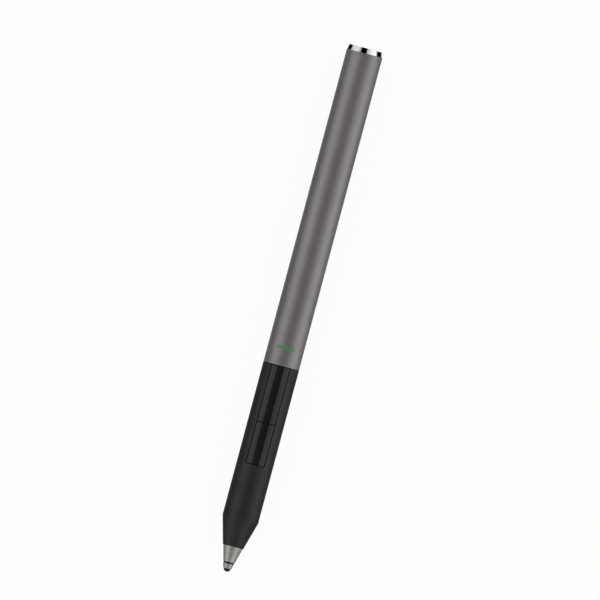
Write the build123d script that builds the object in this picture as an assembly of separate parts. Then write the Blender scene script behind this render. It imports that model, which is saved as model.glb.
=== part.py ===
from build123d import *
import os
from math import cos, pi, radians, sin, sqrt

# Active stylus pen, lying along X with its buttons up, its tip towards -X and its end cap towards +X.
# It is drawn standing: Z runs from the tip, at 0, to the cap, and Y points to the button side.
# Every piece is laid down when it is written. All lengths are in millimetres.

# Fits and cuts
press_gap = 0.02  # radial gap of a pressed or glued fit
slide_gap = 0.05  # radial gap of a sliding fit
seat_gap = 0.02  # gap between stacked faces
stop_gap = 0.03  # what is left at the end of a travel
overrun = 1.0  # how far a cut runs past the face it opens

# Barrel
body_diameter = 10.0  # barrel and grip are flush
barrel_length = 87.57
barrel_wall = 0.7
barrel_edge = 0.15

# End cap
cap_height = 1.47
cap_step = 0.1  # how far its foot stands in from the barrel's side
cap_taper = 0.33  # how much smaller its top radius is than its foot
cap_edge = 0.12
cap_spigot_length = 6.0
cap_spigot_wall = 0.9

# Grip
grip_length = 50.62
grip_taper_length = 7.7
grip_front_diameter = 5.7
grip_wall = 1.5
bore_shoulder_setback = 3.0  # from the end of the taper to the step in the bore
joint_edge = 0.08  # broken edge on both sides of the seam with the barrel

# Screwed seam between grip and barrel, its thread drawn as its outer cylinder
thread_pitch = 0.75
thread_turns = 4
thread_depth = 0.15
thread_lead = 0.8  # plain end that guides the barrel on
seal_section = 0.4
seal_setback = 0.8
seal_land = 0.6  # between the seal and the thread

# Nose
nose_length = 4.34
nose_rear_diameter = 5.46
nose_front_diameter = 3.16
nose_edge = 0.06
nose_rim = 0.07  # flat ring round the counterbore in its front
nose_lip = 0.6  # metal between the counterbore and the bush
nose_spigot_diameter = 4.0
nose_spigot_length = 4.0
bush_diameter = 2.0

# Nib
nib_diameter = 1.85
nib_reach = 0.85  # length of the point in front of the collar
nib_dome_share = 0.78  # height of its dome as a share of its radius
nib_flange_diameter = 3.04
nib_flange_length = 0.2
nib_boss_reach = 0.35  # how far its boss stands in the nose
nib_stem_diameter = 1.2
nib_stem_tip = 0.2  # bevel at the stem's end
nib_travel = 0.2
nib_socket_depth = 3.4
collar_length = 1.36
collar_front_wall = 0.25
collar_rear_wall = 0.51
collar_edge = 0.2

# Nib holder, its spring and the force sensor
holder_flange_length = 0.8
holder_wall = 0.4
nib_spring_wire = 0.25
nib_spring_room = 0.2  # radial room between the holder and the spring
nib_spring_turns = 5
sensor_gap = 0.22  # radial room round it in the grip
sensor_length = 1.0
sensor_dome_height = 0.15
sensor_dome_diameter = 1.4
sensor_flex_width = 1.8
sensor_flex_thickness = 0.12
sensor_flex_landing = 1.6

# Buttons
upper_button_length = 15.8
lower_button_length = 11.5
button_width = 4.9
button_gap = 0.18
button_travel = 0.3
button_crown = 1.2
button_wall = 0.7
button_lip = 0.5
button_lip_gap = 0.1
button_underside_height = 1.6  # of the underside above the board
button_post_diameter = 1.6
inlay_width = 1.9
inlay_depth = 0.4

# Switches under the buttons
switch_width = 3.0
switch_length = 3.5
switch_height = 0.9
plunger_diameter = 1.5
plunger_rise = 0.5
plunger_seat = 0.2

# Chassis and circuit board
board_drop = 0.6  # of the board's face below the axis
board_thickness = 0.8
chassis_side_wall = 0.45
chassis_floor = 0.8
chassis_tail = 0.8  # how far it runs on behind the board
bulkhead_length = 2.2
channel_ledge = 0.9  # what carries each edge of the board
screw_land_length = 3.2
screw_diameter = 1.2
screw_head_diameter = 2.2
screw_head_height = 0.6
screw_grip = 1.2  # length in the chassis
screw_recess = 0.7
screw_recess_depth = 0.3

# Chips on the board
amplifier_size = 2.0
crystal_width = 2.0
crystal_length = 1.6
controller_size = 3.2
radio_size = 2.6
chip_height = 0.7
chip_gap = 0.5  # least room round a chip, a screw or a landing

# Battery, of the slim AAAA kind
battery_length = 42.5
battery_gap = 0.3
battery_nub_diameter = 2.6
battery_nub_height = 0.9
battery_edge = 0.3
jacket_thickness = 0.12
jacket_setback = 0.5

# Battery contacts
contact_spring_wire = 0.3
contact_spring_turns = 3
contact_spring_length = 3.5
carrier_length = 2.0
carrier_gap = 0.3
contact_head_diameter = 2.8
contact_head_length = 0.3
contact_pin_diameter = 1.0
contact_pin_landing = 1.4
ground_clip_width = 1.6
ground_clip_thickness = 0.15
ground_clip_gap = 0.1
ground_clip_foot = 2.2
ground_clip_lean = 1.6
ground_clip_tongue = 1.4
ground_clip_hook = 0.5
ground_clip_bend = 0.3
ground_clip_setback = 1.2  # from the pin's landing
stop_share = 0.48  # of the barrel's spare length; the rest makes the chassis longer
stop_wall = 0.8
stop_web = 1.0
rear_contact_diameter = 4.0
rear_contact_thickness = 0.3
rear_rivet_diameter = 1.2
rear_rivet_head_diameter = 2.0

# Radii worked out from the sizes above
body_radius = body_diameter / 2
barrel_bore = body_radius - barrel_wall
grip_bore = body_radius - grip_wall
spigot_radius = barrel_bore - slide_gap
groove_floor = spigot_radius - seal_section - press_gap
cap_foot = body_radius - cap_step
cap_top = cap_foot - cap_taper
cap_spigot = barrel_bore - press_gap
front_bore = nose_spigot_diameter / 2 + press_gap
sensor_radius = front_bore - sensor_gap
nose_counterbore = nose_front_diameter / 2 - nose_edge - nose_rim
boss_radius = nose_counterbore - slide_gap
nib_radius = nib_diameter / 2
nib_dome = nib_radius * nib_dome_share
collar_bore = nib_radius + press_gap
stem_radius = nib_stem_diameter / 2
socket_radius = stem_radius + press_gap
holder_radius = socket_radius + holder_wall
nib_spring_radius = holder_radius + nib_spring_room + nib_spring_wire / 2
chassis_radius = grip_bore - slide_gap
board_top = -board_drop
board_bottom = board_top - board_thickness
pocket_half = sqrt(chassis_radius**2 - board_bottom**2) - chassis_side_wall
board_half = pocket_half - slide_gap
channel_half = board_half - channel_ledge
battery_radius = barrel_bore - battery_gap
can_radius = battery_radius - jacket_thickness - press_gap
carrier_radius = barrel_bore - carrier_gap
contact_spring_radius = (battery_nub_diameter - contact_spring_wire) / 2
button_half = button_width / 2
button_underside = board_top + button_underside_height
plunger_top = board_top + switch_height + plunger_rise

# Stations along the axis, from the tip to the cap
collar_front = nib_reach
flange_front = collar_front + collar_length
flange_rear = flange_front + nib_flange_length
nose_front = flange_rear + nib_travel + stop_gap
boss_rear = nose_front + nib_boss_reach
counterbore_floor = boss_rear + nib_travel + stop_gap
bush_front = counterbore_floor + nose_lip
grip_front = nose_front + nose_length
nose_rear = grip_front + nose_spigot_length
taper_rear = grip_front + grip_taper_length
bore_shoulder = taper_rear + bore_shoulder_setback
chassis_front = bore_shoulder + seat_gap
sensor_front = chassis_front - seat_gap - sensor_length
holder_front = nose_rear + seat_gap
holder_rear = sensor_front - sensor_dome_height - nib_travel - stop_gap
stem_rear = holder_front + nib_socket_depth - seat_gap
board_front = chassis_front + bulkhead_length + seat_gap
seam = grip_front + grip_length
upper_rear = seam - button_gap
upper_front = upper_rear - upper_button_length
lower_rear = upper_front - button_gap
lower_front = lower_rear - lower_button_length
window_front = lower_front - button_gap
groove_front = seam + seal_setback
groove_rear = groove_front + seal_section + 2 * slide_gap
thread_rear = groove_rear + seal_land + thread_pitch * thread_turns
spigot_rear = thread_rear + thread_lead
barrel_rear = seam + barrel_length
overall_length = barrel_rear + cap_height
cap_spigot_front = barrel_rear - cap_spigot_length
power_length = carrier_length + contact_head_length + contact_spring_length + battery_length
spare_length = cap_spigot_front - spigot_rear - power_length - rear_contact_thickness
stop_rear = cap_spigot_front - seat_gap
stop_front = stop_rear - stop_share * spare_length
battery_rear = stop_front - rear_contact_thickness - seat_gap
battery_front = battery_rear - battery_length
carrier_rear = battery_front - contact_spring_length - contact_head_length
carrier_front = carrier_rear - carrier_length
chassis_rear = carrier_front - seat_gap
board_rear = chassis_rear - chassis_tail
clip_bend = board_rear - contact_pin_landing - ground_clip_setback
clip_heel = clip_bend - ground_clip_foot
front_screw = board_front + sensor_flex_landing + chip_gap + screw_head_diameter / 2
rear_screw = clip_heel - chip_gap - screw_head_diameter / 2


def turned(*profile):
    """A solid turned about the axis from its (radius, station) corners."""
    corners = [(radius, 0, station) for radius, station in profile]
    return revolve(make_face(Polyline(*corners, close=True)), Axis.Z)


def rod(radius, front, rear):
    """A round bar on the axis between two stations."""
    upright = (Align.CENTER, Align.CENTER, Align.MIN)
    return Pos(0, 0, front) * Cylinder(radius, rear - front, align=upright)


def slab(half_width, low, high, front, rear):
    """A block centred across the pen, between two heights and two stations."""
    corner = (Align.CENTER, Align.MIN, Align.MIN)
    return Pos(0, low, front) * Box(2 * half_width, high - low, rear - front, align=corner)


def peg(radius, low, high, station):
    """A round bar square to the axis, towards the buttons."""
    upright = (Align.CENTER, Align.CENTER, Align.MIN)
    return Pos(0, low, station) * Rot(-90, 0, 0) * Cylinder(radius, high - low, align=upright)


def strip(points, thickness, width, bend):
    """A bent flat strip along (height, station) points, centred across the pen."""
    path = FilletPolyline(*points, radius=bend)
    return extrude(Plane.YZ * trace(path, thickness), width / 2, both=True)


def coil(radius, wire, turns, front, rear):
    """A spring on the axis: half turns of the helix, each drawn as two arcs that meet smoothly."""
    first = front + wire / 2
    rise = (rear - front - wire) / (2 * pi * turns)
    steps = 2 * turns

    def place(angle):
        return Vector(radius * cos(angle), radius * sin(angle), first + rise * angle)

    def heading(angle):
        return Vector(-radius * sin(angle), radius * cos(angle), rise).normalized()

    arcs = []
    for step in range(steps):
        start = pi * step
        end = pi * (step + 1)
        span = place(end) - place(start)
        both = heading(start) + heading(end)
        # the two arcs take equal tangent lengths, which solve a quadratic
        square = 4 - both.dot(both)
        along = span.dot(both)
        reach = (sqrt(along**2 + square * span.dot(span)) - along) / square
        middle = (place(start) + heading(start) * reach + place(end) - heading(end) * reach) / 2
        arcs.append(TangentArc(place(start), middle, tangent=heading(start)))
        arcs.append(TangentArc(place(end), middle, tangent=-heading(end)))
    section = Plane(origin=place(0), z_dir=heading(0)) * Circle(wire / 2)
    return sweep(section, path=Wire(arcs))


def barrel():
    """The rear tube, its edges broken at both ends."""
    return turned(
        (barrel_bore, seam),
        (body_radius - joint_edge, seam),
        (body_radius, seam + joint_edge),
        (body_radius, barrel_rear - barrel_edge),
        (body_radius - barrel_edge, barrel_rear),
        (barrel_bore, barrel_rear),
    )


def end_cap():
    """The polished cap: a low cone on a hollow spigot."""
    cavity = cap_spigot - cap_spigot_wall
    return turned(
        (0, barrel_rear),
        (cavity, barrel_rear),
        (cavity, cap_spigot_front),
        (cap_spigot, cap_spigot_front),
        (cap_spigot, barrel_rear),
        (cap_foot, barrel_rear),
        (cap_top, overall_length - cap_edge),
        (cap_top - cap_edge, overall_length),
        (0, overall_length),
    )


def battery_stop():
    """The tube between the cap and the battery, closed at its front but for the rivet's hole."""
    outer = barrel_bore - press_gap
    return turned(
        (rear_rivet_diameter / 2 + press_gap, stop_front),
        (outer, stop_front),
        (outer, stop_rear),
        (outer - stop_wall, stop_rear),
        (outer - stop_wall, stop_front + stop_web),
        (rear_rivet_diameter / 2 + press_gap, stop_front + stop_web),
    )


def rear_contact():
    """The riveted contact plate that the battery's rear end rests on."""
    plate_front = stop_front - rear_contact_thickness
    web_rear = stop_front + stop_web
    head_rear = web_rear + rear_contact_thickness
    return turned(
        (0, plate_front),
        (rear_contact_diameter / 2, plate_front),
        (rear_contact_diameter / 2, stop_front),
        (rear_rivet_diameter / 2, stop_front),
        (rear_rivet_diameter / 2, web_rear),
        (rear_rivet_head_diameter / 2, web_rear),
        (rear_rivet_head_diameter / 2, head_rear),
        (0, head_rear),
    )


def battery_cell():
    """The cell's can with its raised front terminal."""
    can_front = battery_front + battery_nub_height
    return turned(
        (0, battery_front),
        (battery_nub_diameter / 2, battery_front),
        (battery_nub_diameter / 2, can_front),
        (can_radius - battery_edge, can_front),
        (can_radius, can_front + battery_edge),
        (can_radius, battery_rear - battery_edge),
        (can_radius - battery_edge, battery_rear),
        (0, battery_rear),
    )


def battery_jacket():
    """The printed sleeve round the cell."""
    front = battery_front + battery_nub_height + jacket_setback
    rear = battery_rear - jacket_setback
    return rod(battery_radius, front, rear) - rod(can_radius + press_gap, front, rear)


def contact_carrier():
    """The round insulator that closes the chassis and carries the front battery contact."""
    hole = rod(contact_pin_diameter / 2 + press_gap, carrier_front, carrier_rear)
    return rod(carrier_radius, carrier_front, carrier_rear) - hole


def contact_pin():
    """The front battery contact: a head behind the carrier and a pin that lands on the board."""
    return turned(
        (0, board_rear - contact_pin_landing),
        (contact_pin_diameter / 2, board_rear - contact_pin_landing),
        (contact_pin_diameter / 2, carrier_rear),
        (contact_head_diameter / 2, carrier_rear),
        (contact_head_diameter / 2, carrier_rear + contact_head_length),
        (0, carrier_rear + contact_head_length),
    )


def contact_spring():
    """The spring between the front contact and the battery's terminal."""
    front = carrier_rear + contact_head_length + seat_gap
    rear = battery_front - seat_gap
    return coil(contact_spring_radius, contact_spring_wire, contact_spring_turns, front, rear)


def ground_clip():
    """The leaf spring from the board to the barrel's bore, which is the battery's other pole."""
    half = ground_clip_thickness / 2
    foot = board_top + half
    top = sqrt(barrel_bore**2 - (ground_clip_width / 2) ** 2) - ground_clip_gap - half
    crest = clip_bend + ground_clip_lean
    toe = crest - ground_clip_tongue
    points = ((foot, clip_heel), (foot, clip_bend), (top, crest), (top, toe), (top - ground_clip_hook, toe))
    return strip(points, ground_clip_thickness, ground_clip_width, ground_clip_bend)


def grip_shell():
    """The tapered front shell, with its window for the buttons and its screwed spigot."""
    shell = turned(
        (front_bore, grip_front),
        (grip_front_diameter / 2, grip_front),
        (body_radius, taper_rear),
        (body_radius, seam - joint_edge),
        (body_radius - joint_edge, seam),
        (grip_bore, seam),
        (grip_bore, bore_shoulder),
        (front_bore, bore_shoulder),
    )
    window = slab(button_half + button_gap, 0, body_radius + overrun, window_front, seam)
    spigot = turned(
        (grip_bore, seam),
        (spigot_radius, seam),
        (spigot_radius, groove_front),
        (groove_floor, groove_front),
        (groove_floor, groove_rear),
        (spigot_radius, groove_rear),
        (spigot_radius, thread_rear),
        (spigot_radius - thread_depth, thread_rear + thread_depth),
        (spigot_radius - thread_depth, spigot_rear),
        (grip_bore, spigot_rear),
    )
    return shell - window + spigot


def joint_seal():
    """The rubber ring that keeps the screwed seam from working loose."""
    middle = groove_floor + press_gap + seal_section / 2
    return Pos(0, 0, (groove_front + groove_rear) / 2) * Torus(middle, seal_section / 2)


def nose_cone():
    """The metal nose: a cone on a spigot, bored for the bush and for the nib's boss."""
    mouth = stem_radius + 2 * slide_gap
    bore = bush_diameter / 2 + press_gap
    spigot = nose_spigot_diameter / 2
    return turned(
        (mouth, counterbore_floor),
        (nose_counterbore, counterbore_floor),
        (nose_counterbore, nose_front),
        (nose_front_diameter / 2 - nose_edge, nose_front),
        (nose_front_diameter / 2, nose_front + nose_edge),
        (nose_rear_diameter / 2, grip_front - nose_edge),
        (nose_rear_diameter / 2 - nose_edge, grip_front),
        (spigot, grip_front),
        (spigot, nose_rear),
        (bore, nose_rear),
        (bore, bush_front),
        (mouth, bush_front),
    )


def nib_guide_bush():
    """The plastic bush that guides the nib's stem."""
    front = bush_front + seat_gap
    return rod(bush_diameter / 2, front, nose_rear) - rod(stem_radius + slide_gap, front, nose_rear)


def nib_core():
    """The nib: a blunt point, a thin flange behind its collar, a boss in the nose and a stem for the holder."""
    flange = nib_flange_diameter / 2
    point = Plane.XZ * EllipticalCenterArc((0, nib_dome), nib_radius, nib_dome, start_angle=270, arc_size=90)
    rest = Polyline(
        (nib_radius, 0, nib_dome),
        (nib_radius, 0, flange_front),
        (flange, 0, flange_front),
        (flange, 0, flange_rear),
        (boss_radius, 0, flange_rear),
        (boss_radius, 0, boss_rear),
        (stem_radius, 0, boss_rear),
        (stem_radius, 0, stem_rear - nib_stem_tip),
        (stem_radius - nib_stem_tip, 0, stem_rear),
        (0, 0, stem_rear),
        (0, 0, 0),
    )
    return revolve(make_face([point, rest]), Axis.Z)


def nib_collar():
    """The metal collar on the nib, its front edge bevelled."""
    collar_rear = flange_front - seat_gap
    front_radius = collar_bore + collar_front_wall
    return turned(
        (collar_bore, collar_front),
        (front_radius - collar_edge / 2, collar_front),
        (front_radius, collar_front + collar_edge),
        (collar_bore + collar_rear_wall, collar_rear),
        (collar_bore, collar_rear),
    )


def nib_holder():
    """The socket for the nib's stem, whose flange rests behind the nose and whose end presses the sensor."""
    flange = front_bore - slide_gap
    flange_end = holder_front + holder_flange_length
    return turned(
        (socket_radius, holder_front),
        (flange, holder_front),
        (flange, flange_end),
        (holder_radius, flange_end),
        (holder_radius, holder_rear),
        (0, holder_rear),
        (0, holder_front + nib_socket_depth),
        (socket_radius, holder_front + nib_socket_depth),
    )


def nib_spring():
    """The return spring between the holder's flange and the sensor."""
    front = holder_front + holder_flange_length + seat_gap
    rear = sensor_front - seat_gap
    return coil(nib_spring_radius, nib_spring_wire, nib_spring_turns, front, rear)


def force_sensor():
    """The pressure sensor on the chassis: a disc with a raised middle."""
    dome_front = sensor_front - sensor_dome_height
    disc = rod(sensor_radius, sensor_front, chassis_front - seat_gap)
    return disc + rod(sensor_dome_diameter / 2, dome_front, sensor_front)


def sensor_flex():
    """The flat cable from the sensor, through the bulkhead, on to the board."""
    rear = board_front + sensor_flex_landing
    return slab(
        sensor_flex_width / 2,
        board_top,
        board_top + sensor_flex_thickness,
        chassis_front - seat_gap,
        rear,
    )


def chassis():
    """The half-pipe that carries the board, with a bulkhead for the sensor."""
    body = rod(chassis_radius, chassis_front, chassis_rear)
    bulkhead_rear = chassis_front + bulkhead_length
    open_side = slab(chassis_radius, board_top, chassis_radius, bulkhead_rear, chassis_rear)
    pocket = slab(pocket_half, board_bottom, board_top, bulkhead_rear, chassis_rear)
    floor = chassis_floor - chassis_radius
    channel = slab(
        channel_half,
        floor,
        board_bottom,
        front_screw + screw_land_length / 2,
        rear_screw - screw_land_length / 2,
    )
    slot = slab(
        sensor_flex_width / 2 + slide_gap,
        board_top - slide_gap,
        board_top + sensor_flex_thickness + slide_gap,
        chassis_front,
        bulkhead_rear,
    )
    sled = body - open_side - pocket - channel - slot
    for station in (front_screw, rear_screw):
        sled -= peg(screw_diameter / 2 + press_gap, board_bottom - screw_grip, board_top, station)
    return sled


def main_board():
    """The circuit board, with its two screw holes."""
    board = slab(board_half, board_bottom, board_top, board_front, board_rear)
    for station in (front_screw, rear_screw):
        board -= peg(screw_diameter / 2 + slide_gap, board_bottom, board_top, station)
    return board


def board_screws():
    """Two screws with a hexagon recess."""
    screws = []
    for station in (front_screw, rear_screw):
        head_top = board_top + screw_head_height
        screw = peg(screw_diameter / 2, board_bottom - screw_grip + seat_gap, board_top, station)
        screw += peg(screw_head_diameter / 2, board_top, head_top, station)
        hexagon = extrude(RegularPolygon(screw_recess, 6), screw_recess_depth)
        screws.append(screw - Pos(0, head_top, station) * Rot(90, 0, 0) * hexagon)
    return Compound(screws)


def board_chips():
    """The controller between the switches, and a row of three smaller ones in front of the rear screw."""
    top = board_top + chip_height
    front = lower_rear - controller_size / 2
    blocks = [slab(controller_size / 2, board_top, top, front, front + controller_size)]
    rear = rear_screw - screw_head_diameter / 2 - chip_gap
    row = ((radio_size, radio_size), (crystal_width, crystal_length), (amplifier_size, amplifier_size))
    for width, length in row:
        blocks.append(slab(width / 2, board_top, top, rear - length, rear))
        rear -= length + chip_gap
    return Compound(blocks)


def switch_housing(middle):
    """A switch on the board, with the well that its plunger sinks into."""
    front = middle - switch_length / 2
    top = board_top + switch_height
    housing = slab(switch_width / 2, board_top, top, front, front + switch_length)
    well_floor = top - plunger_seat - button_travel - stop_gap
    return housing - peg(plunger_diameter / 2 + slide_gap, well_floor, top, middle)


def switch_plunger(middle):
    """The plunger of a switch, under its button's post."""
    top = board_top + switch_height
    return peg(plunger_diameter / 2, top - plunger_seat, plunger_top - seat_gap, middle)


def button_cap(front, rear):
    """A button flush with the grip: a hollow cap with a lip under each edge of the window."""
    middle = (front + rear) / 2
    outer = rod(body_radius, front, rear)
    cap = outer & slab(button_half, button_underside, body_radius, front, rear)
    lip = rod(grip_bore - button_lip_gap, front, rear)
    cap += lip & slab(button_half + button_lip, button_underside, body_radius, front, rear)
    ceiling = body_radius - button_crown
    cap -= slab(
        button_half - button_wall,
        button_underside,
        ceiling,
        front + button_wall,
        rear - button_wall,
    )
    cap += peg(button_post_diameter / 2, plunger_top, ceiling, middle)
    floor = body_radius - inlay_depth
    return cap - slab(inlay_width / 2, floor, body_radius, front, rear)


def button_inlay(front, rear):
    """The gloss strip let into a button."""
    floor = body_radius - inlay_depth
    half = inlay_width / 2 - press_gap
    return rod(body_radius, front, rear) & slab(half, floor, body_radius, front, rear)


def pieces():
    """Every piece under its name, standing on its tip."""
    upper_middle = (upper_front + upper_rear) / 2
    lower_middle = (lower_front + lower_rear) / 2
    return {
        "barrel": barrel(),
        "end_cap": end_cap(),
        "battery_stop": battery_stop(),
        "rear_contact": rear_contact(),
        "battery_cell": battery_cell(),
        "battery_jacket": battery_jacket(),
        "contact_carrier": contact_carrier(),
        "contact_pin": contact_pin(),
        "contact_spring": contact_spring(),
        "ground_clip": ground_clip(),
        "grip_shell": grip_shell(),
        "joint_seal": joint_seal(),
        "nose_cone": nose_cone(),
        "nib_guide_bush": nib_guide_bush(),
        "nib_core": nib_core(),
        "nib_collar": nib_collar(),
        "nib_holder": nib_holder(),
        "nib_spring": nib_spring(),
        "force_sensor": force_sensor(),
        "sensor_flex": sensor_flex(),
        "chassis": chassis(),
        "main_board": main_board(),
        "board_screws": board_screws(),
        "board_chips": board_chips(),
        "upper_switch": switch_housing(upper_middle),
        "lower_switch": switch_housing(lower_middle),
        "upper_switch_plunger": switch_plunger(upper_middle),
        "lower_switch_plunger": switch_plunger(lower_middle),
        "upper_button": button_cap(upper_front, upper_rear),
        "lower_button": button_cap(lower_front, lower_rear),
        "upper_button_inlay": button_inlay(upper_front, upper_rear),
        "lower_button_inlay": button_inlay(lower_front, lower_rear),
    }


os.makedirs("parts", exist_ok=True)
lying = Plane(origin=(-overall_length / 2, 0, body_radius), x_dir=(0, 1, 0), z_dir=(1, 0, 0))
for name, piece in pieces().items():
    export_step(lying.location * piece, f"parts/{name}.step")
print(f"length {overall_length:.2f}, diameter {body_diameter:.2f}, unscrews {thread_pitch * thread_turns:.2f}")
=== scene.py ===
"""Looks of the stylus pen: fine meshes, finishes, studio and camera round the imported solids.

Meshes are drawn in millimetres where they lie in the frame, along X with the tip towards -X, and are
turned into metres when they are done.
"""

import logging
import math
from dataclasses import dataclass, field
from enum import Enum
from functools import cache
from typing import Iterable, Optional, Union

import bmesh
import bpy
from mathutils import Matrix, Vector


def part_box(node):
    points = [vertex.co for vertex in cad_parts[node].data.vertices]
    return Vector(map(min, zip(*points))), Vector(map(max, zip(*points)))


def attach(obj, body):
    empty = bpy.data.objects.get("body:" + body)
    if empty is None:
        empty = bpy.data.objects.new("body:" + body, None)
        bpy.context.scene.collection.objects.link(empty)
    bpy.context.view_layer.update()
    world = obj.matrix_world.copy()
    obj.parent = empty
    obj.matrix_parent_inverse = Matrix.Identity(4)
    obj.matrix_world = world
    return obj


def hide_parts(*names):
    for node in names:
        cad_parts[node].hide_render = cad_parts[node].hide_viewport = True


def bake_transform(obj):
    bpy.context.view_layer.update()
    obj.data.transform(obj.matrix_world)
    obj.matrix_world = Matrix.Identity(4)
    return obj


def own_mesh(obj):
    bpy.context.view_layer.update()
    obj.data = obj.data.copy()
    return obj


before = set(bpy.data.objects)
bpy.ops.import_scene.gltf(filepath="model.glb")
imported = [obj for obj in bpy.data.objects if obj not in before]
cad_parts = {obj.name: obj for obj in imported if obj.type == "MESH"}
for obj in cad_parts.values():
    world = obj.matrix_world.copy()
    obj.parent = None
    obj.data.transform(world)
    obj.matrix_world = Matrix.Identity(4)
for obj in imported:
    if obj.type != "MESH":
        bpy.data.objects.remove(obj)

Mesh = bpy.types.Mesh
Piece = bpy.types.Object
Socket = bpy.types.NodeSocket
Value = Union[Socket, float, int, tuple]
Colour = tuple[float, float, float, float]
Corner = tuple[float, float, float]
Flat = tuple[float, float]

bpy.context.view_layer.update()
MM = 0.001

# Gaps of pressed, sliding and stacked fits
PRESS_GAP = 0.02
SLIDE_GAP = 0.05
SEAT_GAP = 0.02

# Sizes of the seam's thread and of the nib's stem, which more than one piece follows
THREAD_DEPTH = 0.15
STEM_RADIUS = 0.6

# How far a rounding starts from its corner
SHARP = 0.0
HAIR = 0.03
FINE = 0.05
BROKEN = 0.1
SOFT = 0.15

# Faces round a turned piece, from the barrel down to the pins
WIDE = 192
MIDDLE = 160
SLIM = 128
TINY = 96

# Points nearer to each other than the first are joined, and edges shorter than the second go
WELD = 2e-4
SLIVER = 1e-4

# Where most values of a noise texture lie
NOISE = (0.25, 0.75)

# The share of metal in a finish that is all metal
METAL = 1.0

log = logging.getLogger("pen")


def tone(red: float, green: float, blue: float) -> Colour:
    """A colour from its 0 to 255 display values.

    Args:
        red, green, blue: Display values, as a picture stores them.

    Returns:
        The same colour in linear light, with full opacity.
    """
    def linear(part: float) -> float:
        """One display value in linear light."""
        share = part / 255
        return share / 12.92 if share <= 0.04045 else ((share + 0.055) / 1.055) ** 2.4

    return linear(red), linear(green), linear(blue), 1.0


def grey(shown: float) -> Colour:
    """A grey from its 0 to 255 display value."""
    return tone(shown, shown, shown)


def bright(level: float) -> Colour:
    """A grey from its brightness in linear light, 1 for white."""
    return level, level, level, 1.0


class Graph:
    """Adds nodes to one tree and joins them."""

    # The colours that a Mix node takes and the one that it gives, by number, since their names aren't unique
    first_colour, second_colour, mixed_colour = 6, 7, 2

    def __init__(self, tree: bpy.types.NodeTree) -> None:
        """Starts on a tree, whatever is in it."""
        self.tree = tree

    def feed(self, node: bpy.types.Node, inputs: dict) -> None:
        """Sets a node's inputs.

        Args:
            node: The node.
            inputs: Its inputs by name or number, each a value or another node's socket.
        """
        for name, value in inputs.items():
            if isinstance(value, Socket):
                self.tree.links.new(value, node.inputs[name])
            else:
                node.inputs[name].default_value = value

    def add(
        self, kind: str, settings: Optional[dict] = None, inputs: Optional[dict] = None
    ) -> bpy.types.Node:
        """Adds one node.

        Args:
            kind: The node's type.
            settings: Properties of the node.
            inputs: Its inputs, as feed takes them.

        Returns:
            The new node.
        """
        node = self.tree.nodes.new(kind)
        for name, value in (settings or {}).items():
            setattr(node, name, value)
        self.feed(node, inputs or {})
        return node

    def math(self, operation: str, first: Value, second: Value = 0.0, third: Value = 0.0) -> Socket:
        """The result of one operation on up to three values."""
        node = self.add("ShaderNodeMath", {"operation": operation}, {0: first, 1: second, 2: third})
        return node.outputs[0]

    def ranged(self, value: Value, source: Flat, target: Flat = (0.0, 1.0)) -> Socket:
        """A value moved from one range to another, and held at its ends."""
        ends = dict(zip(("From Min", "From Max", "To Min", "To Max"), (*source, *target)))
        return self.add("ShaderNodeMapRange", inputs={"Value": value, **ends}).outputs["Result"]

    def vector(self, x: Value = 0.0, y: Value = 0.0, z: Value = 0.0) -> Socket:
        """A vector from its parts."""
        return self.add("ShaderNodeCombineXYZ", inputs={"X": x, "Y": y, "Z": z}).outputs[0]

    def parts(self, vector: Value) -> bpy.types.NodeOutputs:
        """The X, Y and Z of a vector, by those names."""
        return self.add("ShaderNodeSeparateXYZ", inputs={0: vector}).outputs

    def mix(self, share: Value, first: Value, second: Value) -> Socket:
        """One colour that turns into another as the share goes from 0 to 1."""
        inputs = {"Factor": share, self.first_colour: first, self.second_colour: second}
        return self.add("ShaderNodeMix", {"data_type": "RGBA"}, inputs).outputs[self.mixed_colour]

    def ramp(self, value: Value, stops: Iterable[tuple[float, Colour]], blend: str = "LINEAR") -> Socket:
        """A colour that runs from stop to stop.

        Args:
            value: Where on the ramp to look, from 0 to 1.
            stops: Places on the ramp, in order, each with its colour.
            blend: How the ramp gets from one to the next.

        Returns:
            The colour.
        """
        node = self.add("ShaderNodeValToRGB", inputs={"Fac": value})
        node.color_ramp.interpolation = blend
        elements = node.color_ramp.elements
        for index, (place, colour) in enumerate(stops):
            element = elements[index] if index < len(elements) else elements.new(1.0)
            element.position = place
            element.color = colour
        return node.outputs["Color"]


@dataclass(frozen=True)
class Span:
    """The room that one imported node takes, in millimetres."""

    front: float
    rear: float
    radius: float
    low: float
    high: float

    @classmethod
    def of(cls, node: str) -> "Span":
        """Reads a node's box from the frame.

        Args:
            node: The node's name.

        Returns:
            Its ends along the pen, half its width, and its lowest and highest points.
        """
        low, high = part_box(node)
        return cls(low.x / MM, high.x / MM, (high.y - low.y) / 2 / MM, low.z / MM, high.z / MM)

    @property
    def middle(self) -> float:
        """The station halfway along."""
        return (self.front + self.rear) / 2

    @property
    def length(self) -> float:
        """How long it is along the pen."""
        return self.rear - self.front


AXIS = Span.of("barrel").radius
BARREL_BORE = Span.of("battery_stop").radius + PRESS_GAP


class Grain(Enum):
    """What breaks up a surface: how many layers its noise has, and how strong each is beside the last."""

    BLASTED = (2.0, 0.55)
    TURNED = (3.0, 0.6)
    MOULDED = (4.0, 0.55)


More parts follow.
